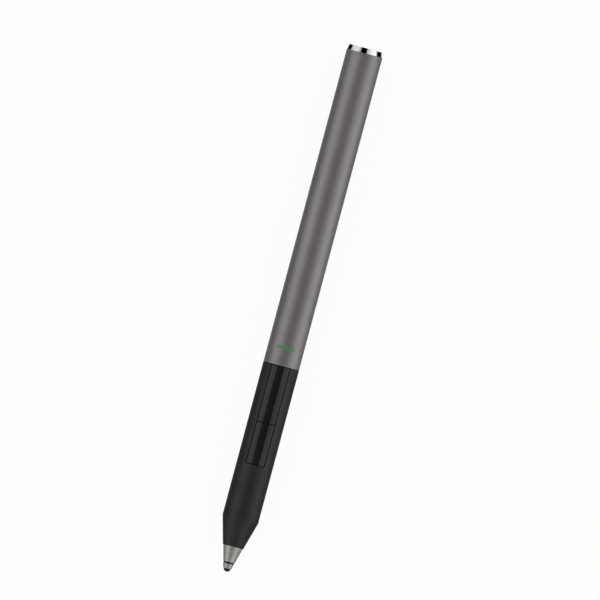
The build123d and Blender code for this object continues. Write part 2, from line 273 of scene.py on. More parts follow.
@dataclass(frozen=True)
class Finish:
    """One surface finish, made as a material of nodes.

    The sizes of the grain and of the broad drift are in millimetres. The colour and the roughness run between
    two ends, and the relief is the depth of the grain. The rim is what a metal keeps of its glare at glancing
    angles.
    """

    name: str
    dark: Colour
    light: Colour
    grain: Grain
    grain_size: float
    drift_size: float
    smooth: float
    rough: float
    relief: float
    metallic: float = 0.0
    specular: float = 0.5
    drift: float = 0.6
    rim: float = 1.0

    def place(self, graph: Graph) -> Socket:
        """Where on the piece a point is, in metres."""
        return graph.add("ShaderNodeTexCoord").outputs["Object"]

    def ring(self, graph: Graph) -> Socket:
        """A length that grows along the pen and outwards from its axis, so that rings show on every face.

        Args:
            graph: The material's tree.

        Returns:
            The length, in metres.
        """
        axis = {0: self.place(graph), 1: (0, 0, AXIS * MM)}
        spot = graph.parts(graph.add("ShaderNodeVectorMath", {"operation": "SUBTRACT"}, axis).outputs[0])
        squares = graph.math("ADD", graph.math("POWER", spot["Y"], 2.0), graph.math("POWER", spot["Z"], 2.0))
        return graph.math("ADD", spot["X"], graph.math("SQRT", squares))

    def fine(self, graph: Graph) -> Socket:
        """The fine grain: rings on a turned surface, and the same all over on any other.

        Args:
            graph: The material's tree.

        Returns:
            The grain, from 0 to 1.
        """
        layers, strength = self.grain.value
        noise = {"Scale": 1 / (self.grain_size * MM), "Detail": layers, "Roughness": strength}
        if self.grain is Grain.TURNED:
            noise["W"], dimensions = self.ring(graph), "1D"
        else:
            noise["Vector"], dimensions = self.place(graph), "3D"
        node = graph.add("ShaderNodeTexNoise", {"noise_dimensions": dimensions}, noise)
        return node.outputs["Fac"]

    def broad(self, graph: Graph) -> Socket:
        """The slow drift across the piece, from 0 to 1."""
        noise = {"Vector": self.place(graph), "Scale": 1 / (self.drift_size * MM)}
        return graph.add("ShaderNodeTexNoise", inputs=noise).outputs["Fac"]

    def colour(self, graph: Graph, fine: Socket, broad: Socket) -> Socket:
        """The colour: the grain and the drift together run from the dark end to the light one."""
        both = graph.math("MULTIPLY_ADD", graph.math("SUBTRACT", broad, 0.5), self.drift, fine)
        return graph.ramp(both, zip(NOISE, (self.dark, self.light)))

    @cache
    def material(self) -> bpy.types.Material:
        """Makes the material, once for all the pieces that share it.

        Returns:
            The material.
        """
        made = bpy.data.materials.new(f"{self.name}_finish")
        made.use_nodes = True
        graph = Graph(made.node_tree)
        fine, broad = self.fine(graph), self.broad(graph)
        bump = graph.add("ShaderNodeBump", inputs={"Height": fine, "Distance": self.relief * MM})
        shader = next(node for node in made.node_tree.nodes if node.type == "BSDF_PRINCIPLED")
        graph.feed(shader, {
            "Metallic": self.metallic,
            "Specular IOR Level": self.specular,
            "Specular Tint": bright(self.rim),
            "Base Color": self.colour(graph, fine, broad),
            "Roughness": graph.ranged(fine, NOISE, (self.smooth, self.rough)),
            "Normal": bump.outputs["Normal"],
        })
        return made


@dataclass(frozen=True)
class Banded(Finish):
    """A finish whose colour changes along the pen, as a printed sleeve does."""

    bands: tuple[tuple[float, Colour], ...] = ()
    shade: Flat = (0.88, 1.06)

    def colour(self, graph: Graph, fine: Socket, broad: Socket) -> Socket:
        """The colour: each band starts at its station, and the drift shades it.

        Args:
            graph: The material's tree.
            fine, broad: The grain and the drift, from 0 to 1.

        Returns:
            The colour.
        """
        first, last = self.bands[0][0], self.bands[-1][0]
        along = graph.ranged(graph.parts(self.place(graph))["X"], (first * MM, last * MM))
        stops = [((station - first) / (last - first), colour) for station, colour in self.bands]
        shade = graph.ranged(broad, (0.0, 1.0), self.shade)
        inputs = {0: graph.ramp(along, stops, "CONSTANT"), "Scale": shade}
        return graph.add("ShaderNodeVectorMath", {"operation": "SCALE"}, inputs).outputs[0]


@dataclass(frozen=True)
class Traced(Finish):
    """A circuit board's mask, with the tracks that show through it and its bare plated holes."""

    track: Colour = bright(0.0)
    hole: Colour = bright(1.0)
    track_pitch: float = 0.42
    track_edge: Flat = (0.16, 0.22)
    empty_share: float = 0.35
    jog: float = 0.84
    jog_every: float = 4.6
    run_length: float = 7.0
    hole_pitch: float = 1.7
    hole_radius: float = 0.17
    hole_bore: float = 0.0765
    hole_scatter: float = 0.9

    def tracks(self, graph: Graph) -> Socket:
        """Finds the tracks: lanes along the pen that step sideways together, some of them empty.

        Args:
            graph: The material's tree.

        Returns:
            1 on a track and 0 between.
        """
        spot = graph.parts(self.place(graph))
        wave = graph.math("PINGPONG", spot["X"], self.jog_every * MM)
        ends = ((self.jog_every - self.jog) / 2 * MM, (self.jog_every + self.jog) / 2 * MM)
        across = graph.math("ADD", spot["Y"], graph.ranged(wave, ends, (0.0, self.jog * MM)))
        lane = graph.math("DIVIDE", across, self.track_pitch * MM)
        off = graph.math("ABSOLUTE", graph.math("SUBTRACT", graph.math("FRACT", lane), 0.5))
        run = graph.math("FLOOR", graph.math("DIVIDE", spot["X"], self.run_length * MM))
        stretch = {"Vector": graph.vector(run, graph.math("FLOOR", lane))}
        chance = graph.add("ShaderNodeTexWhiteNoise", {"noise_dimensions": "2D"}, stretch).outputs["Value"]
        used = graph.math("GREATER_THAN", chance, self.empty_share)
        return graph.math("MULTIPLY", graph.ranged(off, self.track_edge, (1.0, 0.0)), used)

    def holes(self, graph: Graph) -> Socket:
        """Finds the bare rings of the plated holes.

        Args:
            graph: The material's tree.

        Returns:
            1 on a ring and 0 elsewhere.
        """
        cells = graph.add("ShaderNodeTexVoronoi", {"voronoi_dimensions": "2D"}, {
            "Vector": self.place(graph), "Scale": 1 / (self.hole_pitch * MM), "Randomness": self.hole_scatter,
        })
        reach = graph.math("MULTIPLY", cells.outputs["Distance"], self.hole_pitch)
        inside = graph.math("LESS_THAN", reach, self.hole_radius)
        return graph.math("MULTIPLY", inside, graph.math("GREATER_THAN", reach, self.hole_bore))

    def colour(self, graph: Graph, fine: Socket, broad: Socket) -> Socket:
        """The colour: lighter tracks under the mask, and bright rings where it is open."""
        tracked = graph.mix(self.tracks(graph), super().colour(graph, fine, broad), self.track)
        return graph.mix(self.holes(graph), tracked, self.hole)


class Look:
    """Every finish on the pen.

    A row holds the name, the dark and the light end of the colour, the grain, its size and the drift's, the
    smooth and the rough end, the relief, and then the share of metal and the gleam where they matter.
    """

    anodised = Finish(
        "anodised_barrel", tone(115, 112, 113), tone(144, 141, 142), Grain.BLASTED,
        0.1, 6.0, 0.32, 0.41, 0.0016, METAL, drift=0.15,
    )
    chrome = Finish(
        "chrome_cap", tone(243, 243, 244), tone(249, 249, 250), Grain.TURNED,
        0.05, 3.0, 0.02, 0.045, 0.0001, METAL,
    )
    satin = Finish(
        "satin_nose", tone(151, 151, 148), tone(167, 167, 164), Grain.TURNED,
        0.06, 2.0, 0.26, 0.36, 0.0008, METAL,
    )
    # The grip is shaded mostly as a metal, because in the photograph it mirrors the same bands as the barrel
    grip = Finish(
        "grip_plastic", grey(50), grey(58), Grain.MOULDED,
        0.16, 5.0, 0.33, 0.43, 0.004, 0.8, 0.28, rim=0.55,
    )
    button = Finish(
        "button_plastic", grey(45), grey(53), Grain.MOULDED,
        0.12, 4.0, 0.3, 0.42, 0.004, 0.0, 0.28,
    )
    gloss = Finish(
        "gloss_strip", grey(12), grey(16), Grain.MOULDED,
        0.6, 5.0, 0.22, 0.28, 0.0003, 0.0, 0.14,
    )
    nib = Finish(
        "nib_plastic", grey(9), grey(15), Grain.MOULDED,
        0.08, 0.6, 0.34, 0.46, 0.0015, 0.0, 0.2,
    )
    ink = Finish(
        "dot_print", tone(44, 132, 46), tone(60, 154, 62), Grain.MOULDED,
        0.1, 0.8, 0.45, 0.6, 0.001,
    )
    bush = Finish(
        "bush_plastic", tone(206, 202, 190), tone(222, 218, 208), Grain.TURNED,
        0.1, 1.5, 0.4, 0.5, 0.001,
    )
    holder = Finish(
        "holder_plastic", tone(62, 64, 68), tone(78, 80, 84), Grain.MOULDED,
        0.1, 1.5, 0.4, 0.5, 0.002,
    )
    spring = Finish(
        "spring_steel", tone(168, 168, 170), tone(196, 196, 198), Grain.BLASTED,
        0.05, 0.8, 0.2, 0.32, 0.0006, METAL,
    )
    sensor = Finish(
        "sensor_can", tone(188, 188, 184), tone(206, 206, 202), Grain.TURNED,
        0.05, 1.0, 0.26, 0.36, 0.0008, METAL,
    )
    flex = Finish(
        "flex_amber", tone(150, 86, 28), tone(176, 108, 40), Grain.MOULDED,
        0.2, 1.2, 0.25, 0.35, 0.001,
    )
    chassis = Finish(
        "chassis_plastic", tone(70, 72, 76), tone(84, 86, 90), Grain.MOULDED,
        0.12, 6.0, 0.45, 0.55, 0.003,
    )
    mask = Traced(
        "board_mask", tone(14, 66, 40), tone(19, 76, 46), Grain.MOULDED,
        0.3, 3.0, 0.3, 0.4, 0.002, track=tone(36, 108, 64), hole=tone(206, 178, 104),
    )
    lead = Finish(
        "tinned_lead", tone(176, 178, 180), tone(206, 208, 208), Grain.BLASTED,
        0.05, 0.5, 0.24, 0.36, 0.0004, METAL,
    )
    chip = Finish(
        "chip_black", tone(28, 28, 30), tone(40, 40, 42), Grain.BLASTED,
        0.06, 1.0, 0.5, 0.62, 0.002,
    )
    screw = Finish(
        "screw_steel", tone(150, 150, 152), tone(182, 182, 184), Grain.BLASTED,
        0.08, 0.8, 0.24, 0.36, 0.001, METAL,
    )
    switch = Finish(
        "switch_body", tone(36, 36, 38), tone(50, 50, 52), Grain.MOULDED,
        0.08, 1.0, 0.42, 0.52, 0.002,
    )
    plunger = Finish(
        "switch_button", tone(206, 196, 170), tone(222, 212, 190), Grain.TURNED,
        0.1, 0.8, 0.38, 0.48, 0.001,
    )
    brass = Finish(
        "contact_brass", tone(206, 170, 92), tone(226, 192, 116), Grain.TURNED,
        0.06, 1.0, 0.2, 0.32, 0.0008, METAL,
    )
    carrier = Finish(
        "carrier_plastic", tone(52, 52, 56), tone(64, 64, 68), Grain.TURNED,
        0.1, 1.5, 0.45, 0.55, 0.0015,
    )
    stop = Finish(
        "stop_metal", tone(170, 172, 176), tone(192, 194, 198), Grain.TURNED,
        0.08, 3.0, 0.3, 0.42, 0.0015, METAL,
    )
    can = Finish(
        "battery_can", tone(196, 198, 200), tone(214, 216, 218), Grain.TURNED,
        0.07, 2.0, 0.18, 0.28, 0.0006, METAL,
    )
    seal = Finish(
        "seal_rubber", grey(24), grey(34), Grain.MOULDED,
        0.07, 0.8, 0.6, 0.72, 0.002,
    )


def soften(corners: list[Corner], closed: bool = True, steps: int = 5) -> list[Flat]:
    """Rounds the corners of an outline.

    Args:
        corners: Each corner's two coordinates and how far from it the rounding starts, 0 for a sharp one.
        closed: Whether the last corner joins the first.
        steps: Pieces that each rounding is made of.

    Returns:
        The outline's points.
    """
    points: list[Flat] = []
    count = len(corners)
    for index, (x, y, edge) in enumerate(corners):
        if edge == SHARP or (not closed and index in (0, count - 1)):
            points.append((x, y))
            continue
        here = Vector((x, y))
        before = Vector(corners[index - 1][:2])
        after = Vector(corners[(index + 1) % count][:2])
        start = here + (before - here).normalized() * edge
        end = here + (after - here).normalized() * edge
        for step in range(steps + 1):
            share = step / steps
            point = start * (1 - share) ** 2 + here * 2 * share * (1 - share) + end * share**2
            points.append((point.x, point.y))
    return points


def shrink(corners: list[Corner], depth: float, finest: float = 0.004) -> list[Corner]:
    """Moves every side of a closed outline inwards.

    Args:
        corners: The outline, as soften takes it.
        depth: How far the sides move.
        finest: The smallest rounding that is left of a rounded corner.

    Returns:
        The smaller outline, its roundings smaller by as much.
    """
    spots = [Vector(corner[:2]) for corner in corners]
    area = sum(a.x * b.y - b.x * a.y for a, b in zip(spots, spots[1:] + spots[:1]))
    moved = []
    for index, (spot, corner) in enumerate(zip(spots, corners)):
        before = (spot - spots[index - 1]).normalized()
        after = (spots[(index + 1) % len(spots)] - spot).normalized()
        first, second = Vector((-before.y, before.x)), Vector((-after.y, after.x))
        step = (first + second) / (1 + first.dot(second)) * math.copysign(depth, area)
        edge = max(corner[2] - depth, finest) if corner[2] else SHARP
        moved.append((spot.x + step.x, spot.y + step.y, edge))
    return moved


def mirrored(side: list[Corner], between: Iterable[Corner] = ()) -> list[Corner]:
    """A section across the pen: one side's corners, those on top between the sides, and the other side's."""
    return [*side, *between, *[(-across, height, edge) for across, height, edge in reversed(side)]]


def height_at(across: float, radius: float = AXIS) -> float:
    """How high above its axis a round piece's outside is at a place across it."""
    return math.sqrt(radius**2 - across**2)


def brace(points: list[Flat], near: float = 0.12, long: float = 0.8) -> list[Flat]:
    """Adds a point close to both ends of each long straight stretch, so that it is shaded as a straight one.

    Args:
        points: An open outline.
        near: How far from an end the new point is.
        long: The shortest stretch that gets new points.

    Returns:
        The outline with the points added.
    """
    braced = list(points[:1])
    for start, end in zip(points, points[1:]):
        run = Vector(end) - Vector(start)
        if run.length > long:
            step = run.normalized() * near
            braced += [tuple(Vector(start) + step), tuple(Vector(end) - step)]
        braced.append(end)
    return braced


def stand(name: str, mesh: Mesh) -> Piece:
    """Puts a mesh into the scene at the origin.

    Args:
        name: The object's name.
        mesh: Its mesh.

    Returns:
        The new object.
    """
    piece = bpy.data.objects.new(name, mesh)
    bpy.context.scene.collection.objects.link(piece)
    return piece


def drawn(name: str, work: bmesh.types.BMesh) -> Piece:
    """Puts a drawn mesh into the scene, and frees what it was drawn with.

    Args:
        name: The object's name.
        work: What the mesh was drawn with.

    Returns:
        The new object.
    """
    mesh = bpy.data.meshes.new(name)
    work.to_mesh(mesh)
    work.free()
    return stand(name, mesh)


def face_outwards(work: bmesh.types.BMesh) -> None:
    """Turns all the faces of a closed mesh outwards, hollow or not.

    Args:
        work: The mesh.
    """
    bmesh.ops.recalc_face_normals(work, faces=work.faces)
    if work.calc_volume(signed=True) < 0:
        bmesh.ops.reverse_faces(work, faces=work.faces)


def settle(mesh: Mesh, sharp: float = 33.0) -> Mesh:
    """Closes, turns outwards, smooths and scales a mesh that was drawn in millimetres.

    Args:
        mesh: The mesh.
        sharp: The angle in degrees past which an edge stays sharp.

    Returns:
        The same mesh, in metres.
    """
    work = bmesh.new()
    work.from_mesh(mesh)
    bmesh.ops.remove_doubles(work, verts=work.verts, dist=WELD)
    bmesh.ops.dissolve_degenerate(work, edges=work.edges, dist=SLIVER)
    face_outwards(work)
    work.to_mesh(mesh)
    work.free()
    mesh.transform(Matrix.Scale(MM, 4))
    mesh.polygons.foreach_set("use_smooth", [True] * len(mesh.polygons))
    mesh.set_sharp_from_angle(angle=math.radians(sharp))
    mesh.update()
    return mesh


def evaluated(piece: Piece) -> Mesh:
    """A plain mesh of what a piece's modifiers give."""
    graph = bpy.context.evaluated_depsgraph_get()
    return bpy.data.meshes.new_from_object(piece.evaluated_get(graph), depsgraph=graph)


class NodeMesh:
    """A tree of Geometry Nodes with named inputs, run once for each piece that it makes."""

    name = ""
    counts: tuple[str, ...] = ()
    measures: tuple[str, ...] = ()

    def __init__(self) -> None:
        """Builds the tree."""
        self.tree = bpy.data.node_groups.new(self.name, "GeometryNodeTree")
        self.keys: dict[str, str] = {}
        self.socket("Geometry", "Geometry")
        for kind, labels in (("Int", self.counts), ("Float", self.measures), ("Material", ("Material",))):
            for label in labels:
                self.keys[label] = self.socket(label, kind)
        self.socket("Geometry", "Geometry", "OUTPUT")
        self.graph = Graph(self.tree)
        self.inputs = self.graph.add("NodeGroupInput").outputs
        real = self.graph.add("GeometryNodeRealizeInstances", inputs={"Geometry": self.shape()})
        inputs = {"Geometry": real.outputs[0], "Material": self.inputs["Material"]}
        dressed = self.graph.add("GeometryNodeSetMaterial", inputs=inputs)
        self.graph.add("NodeGroupOutput", inputs={"Geometry": dressed.outputs[0]})

    def socket(self, label: str, kind: str, side: str = "INPUT") -> str:
        """Adds one of the tree's own sockets, and returns its identifier."""
        made = self.tree.interface.new_socket(label, in_out=side, socket_type=f"NodeSocket{kind}")
        return made.identifier

    def shape(self) -> Socket:
        """The socket that carries the shape, before it is made real and dressed."""
        raise NotImplementedError

    def here(self) -> Socket:
        """Each point's position."""
        return self.graph.add("GeometryNodeInputPosition").outputs[0]

    def cell(self, columns: Value) -> tuple[Socket, Socket]:
        """Each point's row and column, where the points are numbered row by row.

        Args:
            columns: How many points a row has.

        Returns:
            The row and the column, both from 0.
        """
        graph = self.graph
        index = graph.add("GeometryNodeInputIndex").outputs[0]
        row = graph.math("FLOOR", graph.math("DIVIDE", graph.math("ADD", index, 0.5), columns))
        return row, graph.math("SUBTRACT", index, graph.math("MULTIPLY", row, columns))

    def rolled(self, mesh: Socket, station: Value, reach: Value, angle: Value, axis: Value) -> Socket:
        """A mesh whose points are laid round the pen.

        Args:
            mesh: The mesh.
            station: Where along the pen each point goes.
            reach: How far from the axis it goes.
            angle: Its angle from straight above.
            axis: The axis's height.

        Returns:
            The mesh, moved.
        """
        graph = self.graph
        across = graph.math("MULTIPLY", reach, graph.math("SINE", angle))
        up = graph.math("MULTIPLY_ADD", reach, graph.math("COSINE", angle), axis)
        inputs = {"Geometry": mesh, "Position": graph.vector(station, across, up)}
        return graph.add("GeometryNodeSetPosition", inputs=inputs).outputs[0]

    def swept(self, path: Socket, section: Socket) -> Socket:
        """A section drawn along a path, closed at both ends."""
        inputs = {"Curve": path, "Profile Curve": section, "Fill Caps": True}
        return self.graph.add("GeometryNodeCurveToMesh", inputs=inputs).outputs[0]

    def run(
        self, name: str, finish: Finish, points: Iterable[Flat] = ((0.0, 0.0),), **values: float
    ) -> Piece:
        """Makes one piece.

        Args:
            name: The piece's name.
            finish: Its finish.
            points: The vertices that the tree starts from.
            **values: The tree's inputs, by their names with underscores for spaces.

        Returns:
            The piece, as a plain mesh in metres with no modifier left.
        """
        start = bpy.data.meshes.new(name + "_start")
        start.from_pydata([(x, y, 0.0) for x, y in points], [], [])
        piece = stand(name, start)
        modifier = piece.modifiers.new(self.name, "NODES")
        modifier.node_group = self.tree
        modifier[self.keys["Material"]] = finish.material()
        for label, value in values.items():
            modifier[self.keys[label.replace("_", " ")]] = value
        mesh = settle(evaluated(piece))
        piece.modifiers.clear()
        piece.data = mesh
        mesh.name = name
        bpy.data.meshes.remove(start)
        return piece


@dataclass(frozen=True)
class Thread:
    """A screw thread on a turned piece, cut inwards from its crest, or outwards with a negative depth."""

    front: float = 0.0
    turns: float = 0.0
    crest: float = -1.0
    depth: float = 0.0
    pitch: float = 0.75
    steps: int = 16

    @property
    def rear(self) -> float:
        """The station where it ends."""
        return self.front + self.pitch * self.turns

    def corners(self) -> list[Corner]:
        """Points along its crest, close enough to show every turn.

        Returns:
            The points from front to rear, as sharp corners.
        """
        count = int(self.turns * self.steps)
        length = self.rear - self.front
        return [(self.front + length * step / count, self.crest, SHARP) for step in range(count + 1)]


class Turning(NodeMesh):
    """Turns a profile of (station, radius) points about the pen's axis, and cuts a thread into it."""

    name = "turned piece"
    counts = ("Segments",)
    measures = ("Axis Height", "Thread Front", "Thread Rear", "Thread Pitch", "Thread Depth", "Thread Crest")
    flank = 1.5
    crest_hold = 0.2
    crest_reach = 0.001
    seam_reach = 5e-4

    def held(self, value: Value) -> Socket:
        """A value held between 0 and 1."""
        return self.graph.math("MINIMUM", self.graph.math("MAXIMUM", value, 0.0), 1.0)

    def turns(self, first: Value, last: Value) -> Socket:
        """How many turns of the thread lie between two stations."""
        length = self.graph.math("SUBTRACT", last, first)
        return self.graph.math("DIVIDE", length, self.inputs["Thread Pitch"])

    def thread(self, station: Value, radius: Value, turn: Value) -> Socket:
        """How deep the thread is cut at a point: a groove between flat crests, faded out at both ends.

        Args:
            station: Where along the pen the point is.
            radius: How far from the axis it is.
            turn: Where round the pen it is, as a share of a turn.

        Returns:
            The depth, 0 away from the thread.
        """
        graph, inputs = self.graph, self.inputs
        along = self.turns(inputs["Thread Front"], station)
        left = self.turns(station, inputs["Thread Rear"])
        phase = graph.math("FRACT", graph.math("SUBTRACT", along, turn))
        ridge = graph.math("ABSOLUTE", graph.math("MULTIPLY_ADD", phase, 2.0, -1.0))
        groove = self.held(graph.math("MULTIPLY_ADD", ridge, self.flank, -self.crest_hold))
        fade = self.held(graph.math("MINIMUM", along, left))
        here = graph.math("COMPARE", radius, inputs["Thread Crest"], self.crest_reach)
        depth = graph.math("MULTIPLY", graph.math("MULTIPLY", groove, fade), here)
        return graph.math("MULTIPLY", depth, inputs["Thread Depth"])

    def shape(self) -> Socket:
        """Rolls up a grid with a row for each profile point, and closes it.

        Returns:
            The socket that carries the turned piece.
        """
        graph, inputs = self.graph, self.inputs
        start = inputs["Geometry"]
        rows = graph.add("GeometryNodeAttributeDomainSize", {"component": "MESH"}, {"Geometry": start})
        columns = graph.math("ADD", inputs["Segments"], 1.0)
        counts = {"Vertices X": rows.outputs["Point Count"], "Vertices Y": columns}
        grid = graph.add("GeometryNodeMeshGrid", inputs=counts).outputs["Mesh"]
        row, column = self.cell(columns)
        sample = {"Geometry": start, "Value": self.here(), "Index": row}
        point = graph.add("GeometryNodeSampleIndex", {"data_type": "FLOAT_VECTOR"}, sample).outputs[0]
        spot = graph.parts(point)
        station, radius = spot["X"], spot["Y"]
        turn = graph.math("DIVIDE", column, inputs["Segments"])
        angle = graph.math("MULTIPLY", turn, math.tau)
        reach = graph.math("SUBTRACT", radius, self.thread(station, radius, turn))
        tube = self.rolled(grid, station, reach, angle, inputs["Axis Height"])
        closed = {"Geometry": tube, "Distance": self.seam_reach}
        return graph.add("GeometryNodeMergeByDistance", inputs=closed).outputs[0]


class Coiling(NodeMesh):
    """Winds a wire round the pen's axis, as a spring."""

    name = "wound spring"
    measures = ("Front", "Length", "Radius", "Wire", "Turns", "Axis Height")
    steps_per_turn = 64
    wire_sides = 20

    def shape(self) -> Socket:
        """Draws a round wire along a spiral, and lays it along the pen.

        Returns:
            The socket that carries the spring.
        """
        graph, inputs = self.graph, self.inputs
        spiral = graph.add("GeometryNodeCurveSpiral", inputs={
            "Resolution": self.steps_per_turn,
            "Rotations": inputs["Turns"],
            "Start Radius": inputs["Radius"],
            "End Radius": inputs["Radius"],
            "Height": graph.math("SUBTRACT", inputs["Length"], inputs["Wire"]),
        })
        half = graph.math("MULTIPLY", inputs["Wire"], 0.5)
        circle = {"Resolution": self.wire_sides, "Radius": half}
        section = graph.add("GeometryNodeCurvePrimitiveCircle", inputs=circle)
        laid = graph.add("GeometryNodeTransform", inputs={
            "Geometry": self.swept(spiral.outputs[0], section.outputs[0]),
            "Translation": graph.vector(graph.math("ADD", inputs["Front"], half), 0.0, inputs["Axis Height"]),
            "Rotation": (0.0, math.pi / 2, 0.0),
        })
        return laid.outputs[0]


class Dotting(NodeMesh):
    """Prints staggered rows of dots round the barrel."""

    name = "printed dots"
    counts = ("Dots", "Rows")
    measures = ("Pitch", "Row Pitch", "Dot Radius", "Thickness", "Station", "Barrel Radius")
    dot_sides = 20
    stagger = 0.5

    def shape(self) -> Socket:
        """Lays flat dots out on a plane, then wraps them on to the barrel.

        Returns:
            The socket that carries the dots.
        """
        graph, inputs = self.graph, self.inputs
        row, column = self.cell(inputs["Dots"])
        middle = graph.math("MULTIPLY_ADD", inputs["Dots"], 0.5, -0.5)
        row_middle = graph.math("MULTIPLY_ADD", inputs["Rows"], 0.5, -0.5)
        odd_row = graph.math("MODULO", row, 2.0)
        stagger = graph.math("MULTIPLY_ADD", odd_row, self.stagger, -self.stagger / 2)
        columns_out = graph.math("SUBTRACT", graph.math("ADD", column, stagger), middle)
        rows_out = graph.math("SUBTRACT", row, row_middle)
        along = graph.math("MULTIPLY", rows_out, inputs["Row Pitch"])
        across = graph.math("MULTIPLY", columns_out, inputs["Pitch"])
        points = graph.add("GeometryNodePoints", inputs={
            "Count": graph.math("MULTIPLY", inputs["Dots"], inputs["Rows"]),
            "Position": graph.vector(along, across),
        })
        dot = graph.add("GeometryNodeMeshCylinder", {"fill_type": "TRIANGLE_FAN"}, {
            "Vertices": self.dot_sides, "Radius": inputs["Dot Radius"], "Depth": inputs["Thickness"],
        })
        copies = {"Points": points.outputs[0], "Instance": dot.outputs["Mesh"]}
        laid = graph.add("GeometryNodeInstanceOnPoints", inputs=copies)
        real = graph.add("GeometryNodeRealizeInstances", inputs={"Geometry": laid.outputs[0]})
        flat = graph.parts(self.here())
        station = graph.math("ADD", flat["X"], inputs["Station"])
        foot = graph.math("MULTIPLY_ADD", inputs["Thickness"], -0.5, inputs["Barrel Radius"])
        reach = graph.math("ADD", foot, flat["Z"])
        angle = graph.math("DIVIDE", flat["Y"], inputs["Barrel Radius"])
        return self.rolled(real.outputs[0], station, reach, angle, inputs["Barrel Radius"])


class Soldering(NodeMesh):
    """Sets a bent lead at each point, from a chip's side out and down to the board."""

    name = "chip leads"
    measures = ("Reach", "Rise", "Width", "Thickness", "Board Height")
    bend_steps = 10
    shoulder_share = 0.75
    toe_share = 0.15

    def shape(self) -> Socket:
        """Bends a flat wire in an S, copies it to every point and turns it away from the pen's middle.

        Returns:
            The socket that carries the leads.
        """
        graph, inputs = self.graph, self.inputs
        foot = graph.math("MULTIPLY_ADD", inputs["Thickness"], 0.5, inputs["Board Height"])
        root = graph.math("ADD", foot, inputs["Rise"])
        bend = {
            "Start": (0.0, root),
            "Start Handle": (self.shoulder_share, root),
            "End Handle": (self.toe_share, foot),
            "End": (1.0, foot),
        }
        path = {
            label: graph.vector(graph.math("MULTIPLY", inputs["Reach"], share), 0.0, height)
            for label, (share, height) in bend.items()
        }
        path["Resolution"] = self.bend_steps
        wire = graph.add("GeometryNodeCurvePrimitiveBezierSegment", inputs=path)
        sides = {"Width": inputs["Width"], "Height": inputs["Thickness"]}
        section = graph.add("GeometryNodeCurvePrimitiveQuadrilateral", inputs=sides)
        outwards = graph.math("MULTIPLY", graph.math("SIGN", graph.parts(self.here())["Y"]), math.pi / 2)
        turned = graph.add("FunctionNodeEulerToRotation", inputs={0: graph.vector(0.0, 0.0, outwards)})
        points = graph.add("GeometryNodeMeshToPoints", inputs={"Mesh": inputs["Geometry"]})
        laid = graph.add("GeometryNodeInstanceOnPoints", inputs={
            "Points": points.outputs[0],
            "Instance": self.swept(wire.outputs[0], section.outputs[0]),
            "Rotation": turned.outputs[0],
        })
        return laid.outputs[0]


